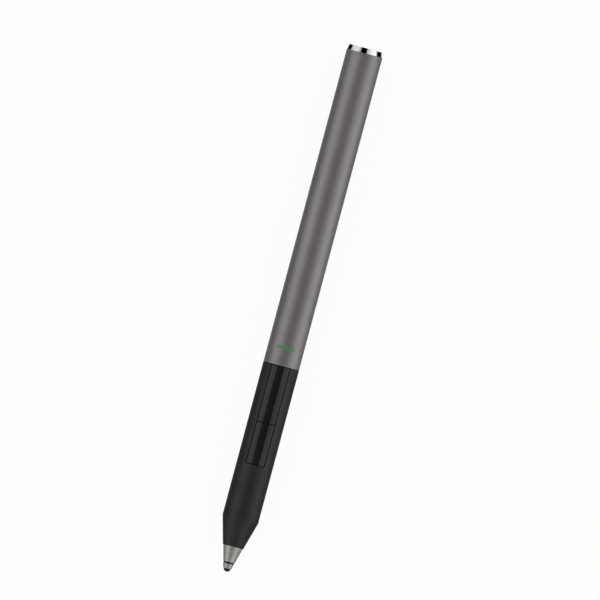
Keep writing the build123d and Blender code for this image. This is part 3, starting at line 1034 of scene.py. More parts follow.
@dataclass
class Workshop:
    """The trees that pieces are made with, and what every finished piece goes through.

    A piece's home is the body that it moves with, its material slot in the record, and the nodes that it
    stands for.
    """

    turning: Turning = field(default_factory=Turning)
    coiling: Coiling = field(default_factory=Coiling)
    dotting: Dotting = field(default_factory=Dotting)
    soldering: Soldering = field(default_factory=Soldering)
    bar_steps: int = 4
    post_sides: int = 48

    def turned(
        self,
        name: str,
        finish: Finish,
        corners: list[Corner],
        segments: int,
        thread: Thread = Thread(),
    ) -> Piece:
        """Turns a piece about the pen's axis.

        Args:
            name: The piece's name.
            finish: Its finish.
            corners: Stations and radii with their roundings, from the axis to the axis or round a ring.
            segments: Faces round it.
            thread: Its thread, where it has one.

        Returns:
            The piece.
        """
        ring = corners[0][1] > 0
        outline = soften(corners, closed=ring)
        profile = [*outline, outline[0]] if ring else outline
        return self.turning.run(
            name,
            finish,
            brace(profile),
            Segments=segments,
            Axis_Height=AXIS,
            Thread_Front=thread.front,
            Thread_Rear=thread.rear,
            Thread_Pitch=thread.pitch,
            Thread_Depth=thread.depth,
            Thread_Crest=thread.crest,
        )

    def lathe(
        self, name: str, finish: Finish, home: tuple[str, ...], corners: list[Corner], segments: int = MIDDLE
    ) -> None:
        """Turns a piece without a thread and puts it in its home, with corners as turned takes them."""
        self.hand_over(self.turned(name, finish, corners, segments), *home)

    def spring(self, name: str, span: Span, wire: float, turns: float) -> Piece:
        """Winds a spring that fills the room of its node."""
        return self.coiling.run(
            name,
            Look.spring,
            Front=span.front,
            Length=span.length,
            Radius=span.radius - wire / 2,
            Wire=wire,
            Turns=turns,
            Axis_Height=AXIS,
        )

    def bar(
        self, name: str, finish: Finish, section: list[Corner], front: float, rear: float, edge: float
    ) -> Piece:
        """Draws a bar along the pen from its section, with both ends rounded over.

        Args:
            name: The piece's name.
            finish: Its finish.
            section: Corners across the pen, each with its height above the axis and its rounding.
            front, rear: The stations of its ends.
            edge: The radius of the rounding at its ends.

        Returns:
            The piece, still in millimetres.
        """
        steps = self.bar_steps
        turns = [math.pi / 2 * step / steps for step in range(steps + 1)] if edge else [0.0]
        end = [(front + edge * (1 - math.sin(turn)), edge * (1 - math.cos(turn))) for turn in turns]
        end.append((front + 2 * edge + PRESS_GAP, 0.0))
        rows = sorted(end + [(front + rear - station, inset) for station, inset in end])
        work = bmesh.new()
        rings = []
        for station, inset in rows:
            outline = soften(shrink(section, inset), steps=steps)
            rings.append([work.verts.new((station, y, AXIS + z)) for y, z in outline])
        for one, other in zip(rings, rings[1:]):
            for index in range(len(one)):
                work.faces.new((one[index - 1], one[index], other[index], other[index - 1]))
        work.faces.new(rings[0][::-1])
        work.faces.new(rings[-1])
        face_outwards(work)
        piece = drawn(name, work)
        piece.data.materials.append(finish.material())
        return piece

    def block(self, low: Corner, high: Corner) -> Piece:
        """Draws a plain block, used only to cut a piece.

        Args:
            low, high: Its lowest and its highest corner in space.

        Returns:
            The block, in millimetres.
        """
        work = bmesh.new()
        bmesh.ops.create_cube(work, size=1.0)
        for vert in work.verts:
            vert.co = Vector([a + (b - a) * (c + 0.5) for a, b, c in zip(low, high, vert.co)])
        return drawn("block", work)

    def post(self, radius: float, station: float, low: float, high: float) -> Piece:
        """Draws a round post square to the pen, used only to add to a piece.

        Args:
            radius: Its radius.
            station: Where along the pen it stands.
            low, high: The heights of its ends.

        Returns:
            The post, in millimetres.
        """
        work = bmesh.new()
        bmesh.ops.create_cone(
            work,
            cap_ends=True,
            segments=self.post_sides,
            radius1=radius,
            radius2=radius,
            depth=high - low,
            matrix=Matrix.Translation((station, 0.0, (low + high) / 2)),
        )
        return drawn("post", work)

    def combine(self, piece: Piece, tool: Piece, operation: str) -> None:
        """Cuts a piece with a tool, or adds the tool to it, and removes the tool.

        Args:
            piece: The piece, in the same unit as the tool.
            tool: The other mesh.
            operation: DIFFERENCE or UNION.
        """
        modifier = piece.modifiers.new("combine", "BOOLEAN")
        modifier.operation = operation
        modifier.solver = "MANIFOLD"
        modifier.object = tool
        mesh = evaluated(piece)
        piece.modifiers.clear()
        old, piece.data = piece.data, mesh
        used = tool.data
        bpy.data.objects.remove(tool)
        for done in (old, used):
            bpy.data.meshes.remove(done)

    def hand_over(self, piece: Piece, body: str, slot: str, *nodes: str) -> None:
        """Puts a finished piece on its body in place of its nodes.

        Args:
            piece: The finished piece.
            body: The body that it moves with.
            slot: The record's material slot, which is not used.
            *nodes: The nodes that it stands for.
        """
        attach(piece, body)
        if nodes:
            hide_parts(*nodes)
        log.info("%s: %d faces on %s", piece.name, len(piece.data.polygons), body)

    def stretch_over(self, piece: Piece, span: Span, bodies: tuple[str, str], slot: str, node: str) -> None:
        """Leaves a finished spring where it lies, in place of its node, and logs the bodies at its ends.

        Args:
            piece: The finished spring.
            span: The room that it takes at rest, which is not used.
            bodies: The bodies at its front and its rear end.
            slot: The record's material slot, which is not used.
            node: The node that it stands for.
        """
        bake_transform(piece)
        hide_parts(node)
        log.info("%s: %d faces between %s and %s", piece.name, len(piece.data.polygons), *bodies)

    def dress(self, node: str, finish: Finish) -> None:
        """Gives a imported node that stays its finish.

        Args:
            node: The node's name.
            finish: The finish.
        """
        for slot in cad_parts[node].material_slots:
            slot.material = finish.material()
        log.info("%s keeps its solid, in %s", node, finish.name)


@dataclass
class RearBody:
    """The part that unscrews: barrel, end cap, printed dots and the battery's stop."""

    shop: Workshop
    barrel: Span = Span.of("barrel")
    cap: Span = Span.of("end_cap")
    stop: Span = Span.of("battery_stop")
    contact: Span = Span.of("rear_contact")
    seam_edge: float = 0.09
    rear_edge: float = 0.16
    print_stand: float = 0.008
    thread_setback: float = 1.2
    thread_turns: float = 5.6
    cap_step: float = 0.1
    cap_taper: float = 0.33
    cap_edge: float = 0.12
    cap_wall: float = 0.9
    dots: int = 9
    dot_rows: int = 2
    dot_pitch: float = 0.58
    dot_row_pitch: float = 0.5
    dot_radius: float = 0.23
    dot_setback: float = 4.95
    stop_wall: float = 0.8
    stop_web: float = 1.0
    rivet_radius: float = 0.6
    rivet_head_radius: float = 1.0

    def tube(self) -> None:
        """The anodised tube, with the thread in its front end."""
        front, rear = self.barrel.front, self.barrel.rear
        outer = self.barrel.radius - self.print_stand
        thread = Thread(front + self.thread_setback, self.thread_turns, BARREL_BORE, -THREAD_DEPTH)
        piece = self.shop.turned("anodised_tube", Look.anodised, [
            (front, BARREL_BORE, SHARP),
            (front, outer, self.seam_edge),
            (rear, outer, self.rear_edge),
            (rear, BARREL_BORE, FINE),
            *reversed(thread.corners()),
        ], WIDE, thread)
        self.shop.hand_over(piece, "rear_body", "barrel_metal", "barrel")

    def chrome(self) -> None:
        """The polished cap with its hollow spigot."""
        spigot = BARREL_BORE - PRESS_GAP
        foot = self.barrel.radius - self.cap_step
        face = self.barrel.rear
        self.shop.lathe("chrome_end_cap", Look.chrome, ("rear_body", "cap_chrome", "end_cap"), [
            (face, 0.0, SHARP),
            (face, spigot - self.cap_wall, BROKEN),
            (self.cap.front, spigot - self.cap_wall, BROKEN),
            (self.cap.front, spigot, SOFT),
            (face, spigot, SHARP),
            (face, foot, HAIR),
            (self.cap.rear, foot - self.cap_taper, self.cap_edge),
            (self.cap.rear, 0.0, SHARP),
        ], WIDE)

    def mark(self) -> None:
        """The green printed dots behind the seam."""
        piece = self.shop.dotting.run(
            "printed_dots",
            Look.ink,
            Dots=self.dots,
            Rows=self.dot_rows,
            Pitch=self.dot_pitch,
            Row_Pitch=self.dot_row_pitch,
            Dot_Radius=self.dot_radius,
            Thickness=self.print_stand * 2,
            Station=self.barrel.front + self.dot_setback,
            Barrel_Radius=self.barrel.radius,
        )
        self.shop.hand_over(piece, "rear_body", "barrel_metal")

    def inside(self) -> None:
        """The battery's stop and the contact riveted to it."""
        stop, plate = self.stop, self.contact
        inner = stop.radius - self.stop_wall
        hole = self.rivet_radius + PRESS_GAP
        web = stop.front + self.stop_web
        self.shop.lathe("stop_tube", Look.stop, ("rear_body", "stop_metal", "battery_stop"), [
            (stop.front, hole, SHARP),
            (stop.front, stop.radius, SOFT),
            (stop.rear, stop.radius, BROKEN),
            (stop.rear, inner, BROKEN),
            (web, inner, SOFT),
            (web, hole, SHARP),
        ])
        self.shop.lathe("riveted_contact", Look.brass, ("rear_body", "contact_brass", "rear_contact"), [
            (plate.front, 0.0, SHARP),
            (plate.front, plate.radius, BROKEN),
            (stop.front, plate.radius, FINE),
            (stop.front, self.rivet_radius, SHARP),
            (web, self.rivet_radius, SHARP),
            (web, self.rivet_head_radius, FINE),
            (plate.rear, self.rivet_head_radius, SOFT),
            (plate.rear, 0.0, SHARP),
        ], TINY)

    def build(self) -> None:
        """Makes the whole rear body."""
        self.tube()
        self.chrome()
        self.mark()
        self.inside()


@dataclass
class Battery:
    """The slim cell in its printed sleeve."""

    shop: Workshop
    cell: Span = Span.of("battery_cell")
    jacket: Span = Span.of("battery_jacket")
    nub_radius: float = 1.3
    nub_height: float = 0.9
    edge: float = 0.3
    rim_width: float = 0.8
    rim_slope: float = 0.2
    rim_depth: float = 0.12
    sleeve: float = 0.12
    bead: float = 0.06
    front_band: float = 9.0
    front_line: float = 0.8
    rear_band: float = 2.6
    rear_line: float = 0.4

    def printed(self) -> Banded:
        """Makes the sleeve's finish: copper at the raised terminal, then dark, a pale line near each end.

        Returns:
            The finish.
        """
        front, rear = self.jacket.front, self.jacket.rear
        copper, pale, dark = tone(176, 112, 60), tone(214, 210, 200), tone(32, 32, 35)
        return Banded(
            "battery_print", tone(30, 30, 32), tone(40, 40, 42), Grain.MOULDED, 0.3, 3.0, 0.26, 0.34, 0.0008,
            bands=(
                (front, copper),
                (front + self.front_band, pale),
                (front + self.front_band + self.front_line, dark),
                (rear - self.rear_band - self.rear_line, pale),
                (rear - self.rear_band, dark),
                (rear, dark),
            ),
        )

    def build(self) -> None:
        """Makes the can with its raised terminal, and the sleeve round it."""
        cell, jacket = self.cell, self.jacket
        shoulder = cell.front + self.nub_height
        rim = cell.radius - self.rim_width
        floor = cell.rear - self.rim_depth
        self.shop.lathe("battery_can", Look.can, ("battery", "battery_can", "battery_cell"), [
            (cell.front, 0.0, SHARP),
            (cell.front, self.nub_radius, SOFT),
            (shoulder, self.nub_radius, BROKEN),
            (shoulder, cell.radius, self.edge),
            (cell.rear, cell.radius, self.edge),
            (cell.rear, rim, BROKEN),
            (floor, rim - self.rim_slope, BROKEN),
            (floor, 0.0, SHARP),
        ], SLIM)
        inner = jacket.radius - self.sleeve
        self.shop.lathe("battery_sleeve", self.printed(), ("battery", "battery_print", "battery_jacket"), [
            (jacket.front, inner, SHARP),
            (jacket.front, jacket.radius, self.bead),
            (jacket.rear, jacket.radius, self.bead),
            (jacket.rear, inner, SHARP),
        ], SLIM)


@dataclass
class Grip:
    """The moulded front shell with its screwed spigot and seal, the metal nose and the nib's bush."""

    shop: Workshop
    shell: Span = Span.of("grip_shell")
    nose: Span = Span.of("nose_cone")
    bush: Span = Span.of("nib_guide_bush")
    seal: Span = Span.of("joint_seal")
    button: Span = Span.of("lower_button")
    seam: float = Span.of("barrel").front
    taper_length: float = 7.7
    front_radius: float = 2.85
    front_edge: float = 0.1
    knee: float = 0.3
    wall: float = 1.5
    shoulder_setback: float = 3.0
    seam_edge: float = 0.09
    thread_land: float = 0.6
    thread_turns: float = 4.0
    window_half: float = 2.63
    window_gap: float = 0.18
    window_edge: float = 0.06
    window_flare: float = 8.0
    window_rise: float = 2.0
    window_overrun: float = 0.005
    nose_front_radius: float = 1.58
    nose_rim: float = 0.07
    nose_lip: float = 0.6
    nose_spigot_radius: float = 2.0
    nose_edge: float = 0.06
    seal_sides: int = 24

    def moulding(self) -> None:
        """The shell: a turned form with a real thread, then the window cut out of it."""
        bore = AXIS - self.wall
        front_bore = self.nose_spigot_radius + PRESS_GAP
        spigot = BARREL_BORE - SLIDE_GAP
        root = spigot - THREAD_DEPTH
        taper = self.shell.front + self.taper_length
        shoulder = taper + self.shoulder_setback
        groove_front, groove_rear = self.seal.front - SLIDE_GAP, self.seal.rear + SLIDE_GAP
        floor = spigot - self.seal.length - PRESS_GAP
        thread = Thread(groove_rear + self.thread_land, self.thread_turns, spigot, THREAD_DEPTH)
        piece = self.shop.turned("moulded_grip", Look.grip, [
            (self.shell.front, front_bore, SHARP),
            (self.shell.front, self.front_radius, self.front_edge),
            (taper, AXIS, self.knee),
            (self.seam, AXIS, self.seam_edge),
            (self.seam, spigot, SHARP),
            (groove_front, spigot, HAIR),
            (groove_front, floor, SHARP),
            (groove_rear, floor, SHARP),
            (groove_rear, spigot, SHARP),
            *thread.corners(),
            (thread.rear + THREAD_DEPTH, root, SHARP),
            (self.shell.rear, root, BROKEN),
            (self.shell.rear, bore, FINE),
            (shoulder, bore, BROKEN),
            (shoulder, front_bore, SHARP),
        ], WIDE, thread)
        piece.data.transform(Matrix.Scale(1 / MM, 4))
        self.shop.combine(piece, self.window(), "DIFFERENCE")
        settle(piece.data)
        self.shop.hand_over(piece, "front_body", "grip_plastic", "grip_shell")

    def window(self) -> Piece:
        """Draws the tool that cuts the window, flared where it leaves the shell so that the edge is broken.

        Returns:
            The tool, in millimetres.
        """
        half, edge = self.window_half, self.window_edge
        turn = math.asin(half / AXIS) + edge / AXIS
        low = Vector((half, height_at(half) - edge))
        lip = Vector((AXIS * math.sin(turn), AXIS * math.cos(turn)))
        out = low + (lip - low) * self.window_flare
        section = mirrored([
            (half, 0.0, SHARP), (*low, SHARP), (*out, SHARP), (out.x, AXIS + self.window_rise, SHARP),
        ])
        front, rear = self.button.front - self.window_gap, self.seam + self.window_overrun
        return self.shop.bar("window", Look.grip, section, front, rear, SHARP)

    def nose_and_bush(self) -> None:
        """The satin nose, and the bush pressed into it."""
        nose, bush = self.nose, self.bush
        mouth = STEM_RADIUS + 2 * SLIDE_GAP
        bore = bush.radius + PRESS_GAP
        counterbore = self.nose_front_radius - self.nose_edge - self.nose_rim
        step = bush.front - SEAT_GAP
        face = self.shell.front
        self.shop.lathe("satin_nose", Look.satin, ("front_body", "tip_metal", "nose_cone"), [
            (step - self.nose_lip, mouth, FINE),
            (step - self.nose_lip, counterbore, SHARP),
            (nose.front, counterbore, HAIR),
            (nose.front, self.nose_front_radius, self.nose_edge),
            (face, nose.radius, self.nose_edge),
            (face, self.nose_spigot_radius, SHARP),
            (nose.rear, self.nose_spigot_radius, SOFT),
            (nose.rear, bore, FINE),
            (step, bore, SHARP),
            (step, mouth, SHARP),
        ])
        hole = STEM_RADIUS + SLIDE_GAP
        self.shop.lathe("guide_bush", Look.bush, ("front_body", "bush_plastic", "nib_guide_bush"), [
            (bush.front, hole, FINE),
            (bush.front, bush.radius, FINE),
            (bush.rear, bush.radius, FINE),
            (bush.rear, hole, FINE),
        ], TINY)

    def ring(self) -> None:
        """The rubber seal in the spigot's groove."""
        half = self.seal.length / 2
        middle = self.seal.radius - half
        turns = [math.tau * step / self.seal_sides for step in range(self.seal_sides)]
        self.shop.lathe("rubber_seal", Look.seal, ("front_body", "seal_rubber", "joint_seal"), [
            (self.seal.middle + half * math.cos(turn), middle + half * math.sin(turn), SHARP)
            for turn in turns
        ], SLIM)

    def build(self) -> None:
        """Makes the grip's pieces."""
        self.moulding()
        self.nose_and_bush()
        self.ring()


@dataclass
class Nib:
    """The nib with its collar, the holder that it plugs into, and the holder's spring and sensor."""

    shop: Workshop
    core: Span = Span.of("nib_core")
    collar: Span = Span.of("nib_collar")
    holder: Span = Span.of("nib_holder")
    coil: Span = Span.of("nib_spring")
    sensor: Span = Span.of("force_sensor")
    nose_front: float = Span.of("nose_cone").front
    point_radius: float = 0.925
    point_height: float = 0.72
    point_steps: int = 18
    flange_length: float = 0.2
    boss_radius: float = 1.4
    boss_reach: float = 0.35
    stem_tip: float = 0.2
    collar_front_radius: float = 1.195
    collar_edge: float = 0.2
    holder_flange_length: float = 0.8
    holder_wall: float = 0.4
    socket_depth: float = 3.4
    wire: float = 0.25
    turns: float = 5.0
    dome_radius: float = 0.7
    dome_height: float = 0.15
    travel: float = 0.2

    def point(self) -> None:
        """The black nib with its flange, the boss that runs in the nose, and its stem."""
        radius, core = self.point_radius, self.core
        flange = self.collar.rear + SEAT_GAP
        flange_rear = flange + self.flange_length
        boss_rear = self.nose_front + self.boss_reach
        turns = [math.pi / 2 * step / self.point_steps for step in range(self.point_steps + 1)]
        self.shop.lathe("nib_point", Look.nib, ("nib", "nib_plastic", "nib_core"), [
            *[
                (core.front + self.point_height * (1 - math.cos(turn)), radius * math.sin(turn), SHARP)
                for turn in turns
            ],
            (flange, radius, SHARP),
            (flange, core.radius, HAIR),
            (flange_rear, core.radius, HAIR),
            (flange_rear, self.boss_radius, SHARP),
            (boss_rear, self.boss_radius, FINE),
            (boss_rear, STEM_RADIUS, SHARP),
            (core.rear, STEM_RADIUS, self.stem_tip),
            (core.rear, 0.0, SHARP),
        ], SLIM)

    def ring(self) -> None:
        """The metal collar, its front edge rolled in towards the point."""
        collar, front = self.collar, self.collar_front_radius
        bore = self.point_radius + PRESS_GAP
        self.shop.lathe("satin_collar", Look.satin, ("nib", "tip_metal", "nib_collar"), [
            (collar.front, bore, HAIR),
            (collar.front, front - self.collar_edge / 2, FINE),
            (collar.front + self.collar_edge, front, BROKEN),
            (collar.rear, collar.radius, HAIR),
            (collar.rear, bore, SHARP),
        ], SLIM)

    def socket(self) -> None:
        """The holder that the stem plugs into."""
        holder = self.holder
        socket = STEM_RADIUS + PRESS_GAP
        outer = socket + self.holder_wall
        flange = holder.front + self.holder_flange_length
        floor = holder.front + self.socket_depth
        self.shop.lathe("nib_socket", Look.holder, ("holder", "holder_plastic", "nib_holder"), [
            (floor, 0.0, SHARP),
            (floor, socket, SHARP),
            (holder.front, socket, BROKEN),
            (holder.front, holder.radius, BROKEN),
            (flange, holder.radius, BROKEN),
            (flange, outer, FINE),
            (holder.rear, outer, BROKEN),
            (holder.rear, 0.0, SHARP),
        ], TINY)

    def behind(self) -> None:
        """The return spring and the sensor's disc."""
        coil, sensor = self.coil, self.sensor
        piece = self.shop.spring("return_spring", coil, self.wire, self.turns)
        self.shop.hand_over(piece, "front_body", "spring_steel", "nib_spring")
        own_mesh(piece)
        face = sensor.front + self.dome_height
        self.shop.lathe("sensor_disc", Look.sensor, ("front_body", "sensor_can", "force_sensor"), [
            (sensor.front, 0.0, SHARP),
            (sensor.front, self.dome_radius, BROKEN),
            (face, self.dome_radius, SHARP),
            (face, sensor.radius, BROKEN),
            (sensor.rear, sensor.radius, BROKEN),
            (sensor.rear, 0.0, SHARP),
        ], TINY)

    def build(self) -> None:
        """Makes the nib's pieces."""
        self.point()
        self.ring()
        self.socket()
        self.behind()


class Key(Enum):
    """The two buttons."""

    UPPER = "upper"
    LOWER = "lower"


@dataclass
class Button:
    """One button: a hollow cap flush with the grip, and the gloss strip let into it."""

    shop: Workshop
    key: Key
    half_width: float = 2.45
    lip: float = 0.5
    lip_radius: float = 3.4
    crown: float = 1.2
    wall: float = 0.7
    underside_height: float = 1.6
    pocket_depth: float = 1.0
    post_radius: float = 0.8
    post_root: float = 0.2
    edge: float = 0.1
    arc_steps: int = 8
    slot_half: float = 0.95
    slot_depth: float = 0.4
    slot_edge: float = 0.05
    strip_edge: float = 0.05
    strip_steps: int = 14
    strip_overhang: float = 0.06

    def node(self, what: str) -> str:
        """The name of one of this button's nodes."""
        return f"{self.key.value}_{what}"

    def arc(self, start: float, end: float, steps: int) -> list[Corner]:
        """Points along a stretch of the pen's round outside, its ends left out.

        Args:
            start, end: The places across the pen that the stretch runs between.
            steps: Pieces that it is made of.

        Returns:
            The points, as sharp corners.
        """
        first, last = math.asin(start / AXIS), math.asin(end / AXIS)
        turns = [first + (last - first) * step / steps for step in range(1, steps)]
        return [(AXIS * math.sin(turn), AXIS * math.cos(turn), SHARP) for turn in turns]

    def cap_section(self, underside: float) -> list[Corner]:
        """The cap's section across the pen, without the pocket under it.

        Args:
            underside: The height of its lower side above the axis.

        Returns:
            The section's corners.
        """
        half, reach = self.half_width, self.half_width + self.lip
        return mirrored([
            (reach, underside, FINE),
            (reach, height_at(reach, self.lip_radius), FINE),
            (half, height_at(half, self.lip_radius), SHARP),
            (half, height_at(half), self.edge),
            *self.arc(half, self.slot_half, self.arc_steps),
            (self.slot_half, height_at(self.slot_half), self.slot_edge),
            (self.slot_half, AXIS - self.slot_depth, SHARP),
        ])

    def cap(self) -> None:
        """The hollow cap with the post that presses its switch."""
        span, plunger = Span.of(self.node("button")), Span.of(self.node("switch_plunger"))
        section = self.cap_section(Span.of("main_board").high + self.underside_height - AXIS)
        piece = self.shop.bar(self.node("cap"), Look.button, section, span.front, span.rear, self.edge)
        ceiling = AXIS * 2 - self.crown
        inside = self.half_width - self.wall
        low = (span.front + self.wall, -inside, span.low - self.pocket_depth)
        high = (span.rear - self.wall, inside, ceiling)
        self.shop.combine(piece, self.shop.block(low, high), "DIFFERENCE")
        foot, root = plunger.high + SEAT_GAP, ceiling + self.post_root
        self.shop.combine(piece, self.shop.post(self.post_radius, span.middle, foot, root), "UNION")
        settle(piece.data)
        self.shop.hand_over(piece, self.node("key"), "button_plastic", self.node("button"))

    def strip(self) -> None:
        """The gloss strip in the cap's slot, which runs on a little towards the other button's strip."""
        span = Span.of(self.node("button_inlay"))
        front, rear, half = span.front, span.rear, span.radius
        if self.key is Key.UPPER:
            front -= self.strip_overhang
        else:
            rear += self.strip_overhang
        side = [(half, AXIS - self.slot_depth, HAIR), (half, height_at(half), self.strip_edge)]
        section = mirrored(side, self.arc(half, -half, self.strip_steps))
        piece = self.shop.bar(self.node("strip"), Look.gloss, section, front, rear, self.strip_edge)
        settle(piece.data)
        self.shop.hand_over(piece, self.node("key"), "inlay_gloss", self.node("button_inlay"))

    def build(self) -> None:
        """Makes the button, and dresses its switch."""
        self.cap()
        self.strip()
        self.shop.dress(self.node("switch"), Look.switch)
        self.shop.dress(self.node("switch_plunger"), Look.plunger)


@dataclass
class Electronics:
    """What the grip holds: chassis, board, chips, cable and battery contacts."""

    shop: Workshop
    carrier: Span = Span.of("contact_carrier")
    pin: Span = Span.of("contact_pin")
    coil: Span = Span.of("contact_spring")
    pin_radius: float = 0.5
    wire: float = 0.3
    turns: float = 3.0
    chip_weld: float = 1e-6
    lead_pitch: float = 0.5
    lead_width: float = 0.2
    lead_thickness: float = 0.09
    lead_reach: float = 0.6
    lead_rise: float = 0.26
    lead_root: float = 0.05

    def chips(self) -> list[tuple[Vector, Vector]]:
        """Finds the chips on the board, which are all one node.

        Returns:
            The lowest and the highest corner of each, in millimetres, from the tip on.
        """
        work = bmesh.new()
        work.from_mesh(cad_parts["board_chips"].data)
        bmesh.ops.remove_doubles(work, verts=work.verts, dist=self.chip_weld)
        boxes, left = [], set(work.verts)
        while left:
            found, edge = set(), [left.pop()]
            while edge:
                vert = edge.pop()
                found.add(vert)
                near = {link.other_vert(vert) for link in vert.link_edges} & left
                left -= near
                edge += near
            corners = [vert.co / MM for vert in found]
            boxes.append((Vector(map(min, *corners)), Vector(map(max, *corners))))
        work.free()
        return sorted(boxes, key=lambda box: box[0].x)

    def leads(self) -> None:
        """The chips' leads, in a row down both sides. A chip wider than it is long has its pads under it."""
        points = []
        for low, high in self.chips():
            length, half = high.x - low.x, high.y - self.lead_root
            if length < high.y - low.y - SEAT_GAP:
                continue
            count = int(length / self.lead_pitch)
            first = (low.x + high.x - (count - 1) * self.lead_pitch) / 2
            stations = [first + step * self.lead_pitch for step in range(count)]
            points += [(station, side * half) for station in stations for side in (-1, 1)]
        piece = self.shop.soldering.run(
            "chip_leads",
            Look.lead,
            points,
            Reach=self.lead_reach,
            Rise=self.lead_rise,
            Width=self.lead_width,
            Thickness=self.lead_thickness,
            Board_Height=Span.of("main_board").high,
        )
        self.shop.hand_over(piece, "front_body", "screw_steel")

    def contacts(self) -> None:
        """The carrier, the contact pin in it and the battery's spring."""
        carrier, pin = self.carrier, self.pin
        hole = self.pin_radius + PRESS_GAP
        self.shop.lathe("contact_disc", Look.carrier, ("front_body", "carrier_plastic", "contact_carrier"), [
            (carrier.front, hole, SHARP),
            (carrier.front, carrier.radius, SOFT),
            (carrier.rear, carrier.radius, SOFT),
            (carrier.rear, hole, SHARP),
        ], SLIM)
        self.shop.lathe("headed_pin", Look.brass, ("front_body", "contact_brass", "contact_pin"), [
            (pin.front, 0.0, SHARP),
            (pin.front, self.pin_radius, BROKEN),
            (carrier.rear, self.pin_radius, SHARP),
            (carrier.rear, pin.radius, FINE),
            (pin.rear, pin.radius, BROKEN),
            (pin.rear, 0.0, SHARP),
        ], TINY)
        piece = self.shop.spring("battery_spring", self.coil, self.wire, self.turns)
        self.shop.stretch_over(piece, self.coil, ("front_body", "battery"), "spring_steel", "contact_spring")

    def build(self) -> None:
        """Makes the contacts and the chips' leads, and dresses the rest."""
        self.contacts()
        self.leads()
        for node, finish in {
            "chassis": Look.chassis,
            "main_board": Look.mask,
            "board_chips": Look.chip,
            "board_screws": Look.screw,
            "sensor_flex": Look.flex,
            "ground_clip": Look.brass,
        }.items():
            self.shop.dress(node, finish)


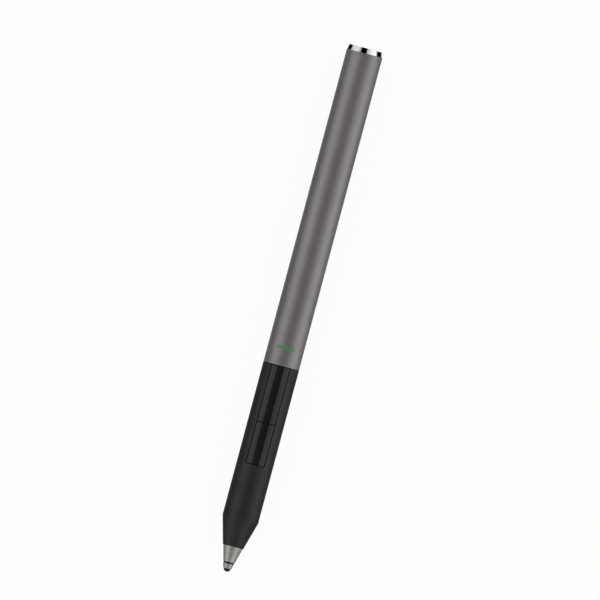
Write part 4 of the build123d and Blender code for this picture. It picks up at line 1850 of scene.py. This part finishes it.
@dataclass
class Studio:
    """The white floor, the light tent with its dark cards, the two softboxes and the camera.

    The tent's tables hold angles in degrees round the pen, from straight above to the right of the picture,
    each with its brightness, 1 for white. Its views say how far a ray has to lean towards the cap, the tip or
    the ground for another brightness to set in, and then to take over.
    """

    floor_size: float = 3.0
    floor_tone: float = 0.96
    floor_glow: float = 0.965
    backdrop_level: float = 0.986
    lamp_distance: float = 0.45
    lamp_length: float = 0.6
    lamp_width: float = 0.16
    lamp_level: float = 0.15
    left_lean: float = -51.0
    right_lean: float = 72.0
    image_scale: float = 0.16238
    camera_height: float = 0.6
    camera_right: float = 0.001027
    camera_up: float = 0.002642
    tilt: float = 14.94
    along_pen: tuple[Flat, ...] = (
        (-180, 0.5), (-130, 0.5), (-95, 0.4), (-65, 1.2), (-35, 1.3), (0, 0.7), (25, 0.35), (60, 1.2),
        (90, 1.7), (120, 0.7), (145, 0.4), (180, 0.4),
    )
    past_cap: tuple[Flat, ...] = (
        (-180, 0.0), (-110, 0.0), (-100, 0.6), (-70, 0.8), (-35, 0.45), (-25, 0.0), (10, 0.0), (15, 0.5),
        (50, 1.0), (80, 0.9), (95, 0.0), (140, 0.0), (150, 0.8), (180, 0.9),
    )
    past_tip: tuple[Flat, ...] = (
        (-180, 0.3), (-125, 0.35), (-95, 0.65), (-80, 1.05), (-60, 1.1), (-20, 0.55), (0, 0.45), (20, 0.5),
        (45, 1.1), (60, 1.05), (95, 0.55), (125, 0.3), (180, 0.25),
    )
    cap_view: Flat = (0.05, 0.1)
    tip_view: Flat = (-0.16, -0.32)
    face_view: Flat = (0.34, 0.42)
    below_view: Flat = (0.0, -0.12)
    face_level: float = 0.82

    def white(self, graph: Graph) -> Socket:
        """1 for the rays that should find plain white."""
        path = graph.add("ShaderNodeLightPath").outputs
        return graph.math("MAXIMUM", path["Is Camera Ray"], path["Is Transmission Ray"])

    def either(self, graph: Graph, share: Value, first: bpy.types.Node, second: bpy.types.Node) -> dict:
        """An output's surface: one shader that turns into another as the share goes from 0 to 1."""
        mixed = graph.add("ShaderNodeMixShader", inputs={0: share, 1: first.outputs[0], 2: second.outputs[0]})
        return {"Surface": mixed.outputs[0]}

    def floor(self) -> None:
        """A pale floor that shows as white and keeps a soft shadow."""
        made = bpy.data.materials.new("white_floor")
        made.use_nodes = True
        made.node_tree.nodes.clear()
        graph = Graph(made.node_tree)
        matt = graph.add("ShaderNodeBsdfDiffuse", inputs={"Color": bright(self.floor_tone)})
        glow = graph.add("ShaderNodeEmission")
        share = graph.math("MULTIPLY", self.white(graph), self.floor_glow)
        graph.add("ShaderNodeOutputMaterial", inputs=self.either(graph, share, matt, glow))
        work = bmesh.new()
        bmesh.ops.create_grid(work, x_segments=1, y_segments=1, size=self.floor_size / 2)
        piece = drawn("floor", work)
        piece.data.materials.append(made)
        piece.visible_glossy = False

    def surroundings(self, graph: Graph, angle: Value, table: tuple[Flat, ...]) -> Socket:
        """How bright it is round the pen.

        Args:
            graph: The world's tree.
            angle: The angle round the pen as a share of a turn, 0.5 for straight above.
            table: One of the tent's tables.

        Returns:
            The brightness as a grey.
        """
        return graph.ramp(angle, [(degrees / 360 + 0.5, bright(level)) for degrees, level in table])

    def tent(self) -> None:
        """The world: a light tent with pale sides and dark above the pen, with dark cards past its cap."""
        world = bpy.data.worlds.new("light_tent")
        world.use_nodes = True
        world.node_tree.nodes.clear()
        graph = Graph(world.node_tree)
        spot = graph.parts(graph.add("ShaderNodeTexCoord").outputs["Generated"])
        turn = graph.math("ARCTAN2", graph.math("MULTIPLY", spot["Y"], -1.0), spot["Z"])
        angle = graph.math("MULTIPLY_ADD", turn, 1 / math.tau, 0.5)
        levels = self.surroundings(graph, angle, self.along_pen)
        for view, table in ((self.cap_view, self.past_cap), (self.tip_view, self.past_tip)):
            levels = graph.mix(graph.ranged(spot["X"], view), levels, self.surroundings(graph, angle, table))
        below, behind = graph.ranged(spot["Z"], self.below_view), graph.ranged(spot["X"], self.face_view)
        levels = graph.mix(graph.math("MULTIPLY", below, behind), levels, bright(self.face_level))
        shaped = graph.add("ShaderNodeBackground", inputs={"Color": levels})
        backdrop = graph.add("ShaderNodeBackground", inputs={"Color": bright(self.backdrop_level)})
        graph.add("ShaderNodeOutputWorld", inputs=self.either(graph, self.white(graph), shaped, backdrop))
        bpy.context.scene.world = world

    def softbox(self, name: str, degrees: float) -> None:
        """A long lamp beside the pen.

        Args:
            name: The lamp's name.
            degrees: How far it leans from straight above, to the right of the picture.
        """
        lamp = bpy.data.lights.new(name, "AREA")
        lamp.shape = "RECTANGLE"
        lamp.size, lamp.size_y = self.lamp_length, self.lamp_width
        lamp.energy = self.lamp_level * math.pi * self.lamp_length * self.lamp_width
        piece = bpy.data.objects.new(name, lamp)
        turn = math.radians(degrees)
        away = Vector((0.0, -math.sin(turn), math.cos(turn))) * self.lamp_distance
        piece.location = away + Vector((0.0, 0.0, AXIS * MM))
        piece.rotation_euler = (turn, 0.0, 0.0)
        bpy.context.scene.collection.objects.link(piece)

    def camera(self) -> None:
        """The camera straight above, turned as the photograph is."""
        lens = bpy.data.cameras.new("camera")
        lens.type = "ORTHO"
        lens.ortho_scale = self.image_scale
        piece = bpy.data.objects.new("camera", lens)
        turn = math.radians(self.tilt)
        right = Vector((math.sin(turn), -math.cos(turn), 0.0))
        up = Vector((math.cos(turn), math.sin(turn), 0.0))
        spot = right * self.camera_right + up * self.camera_up + Vector((0.0, 0.0, self.camera_height))
        columns = Matrix((right, up, (0.0, 0.0, 1.0))).transposed().to_4x4()
        piece.matrix_world = Matrix.Translation(spot) @ columns
        bpy.context.scene.collection.objects.link(piece)
        bpy.context.scene.camera = piece

    def build(self) -> None:
        """Sets the studio up."""
        self.floor()
        self.tent()
        self.softbox("left_softbox", self.left_lean)
        self.softbox("right_softbox", self.right_lean)
        self.camera()
        bpy.context.scene.view_settings.view_transform = "Standard"


def main() -> None:
    """Builds the pen and its studio."""
    logging.basicConfig(level=logging.INFO, format="%(name)s: %(message)s")
    shop = Workshop()
    for part in (
        RearBody(shop),
        Battery(shop),
        Grip(shop),
        Nib(shop),
        Button(shop, Key.UPPER),
        Button(shop, Key.LOWER),
        Electronics(shop),
        Studio(),
    ):
        part.build()


if __name__ == "__main__":
    main()
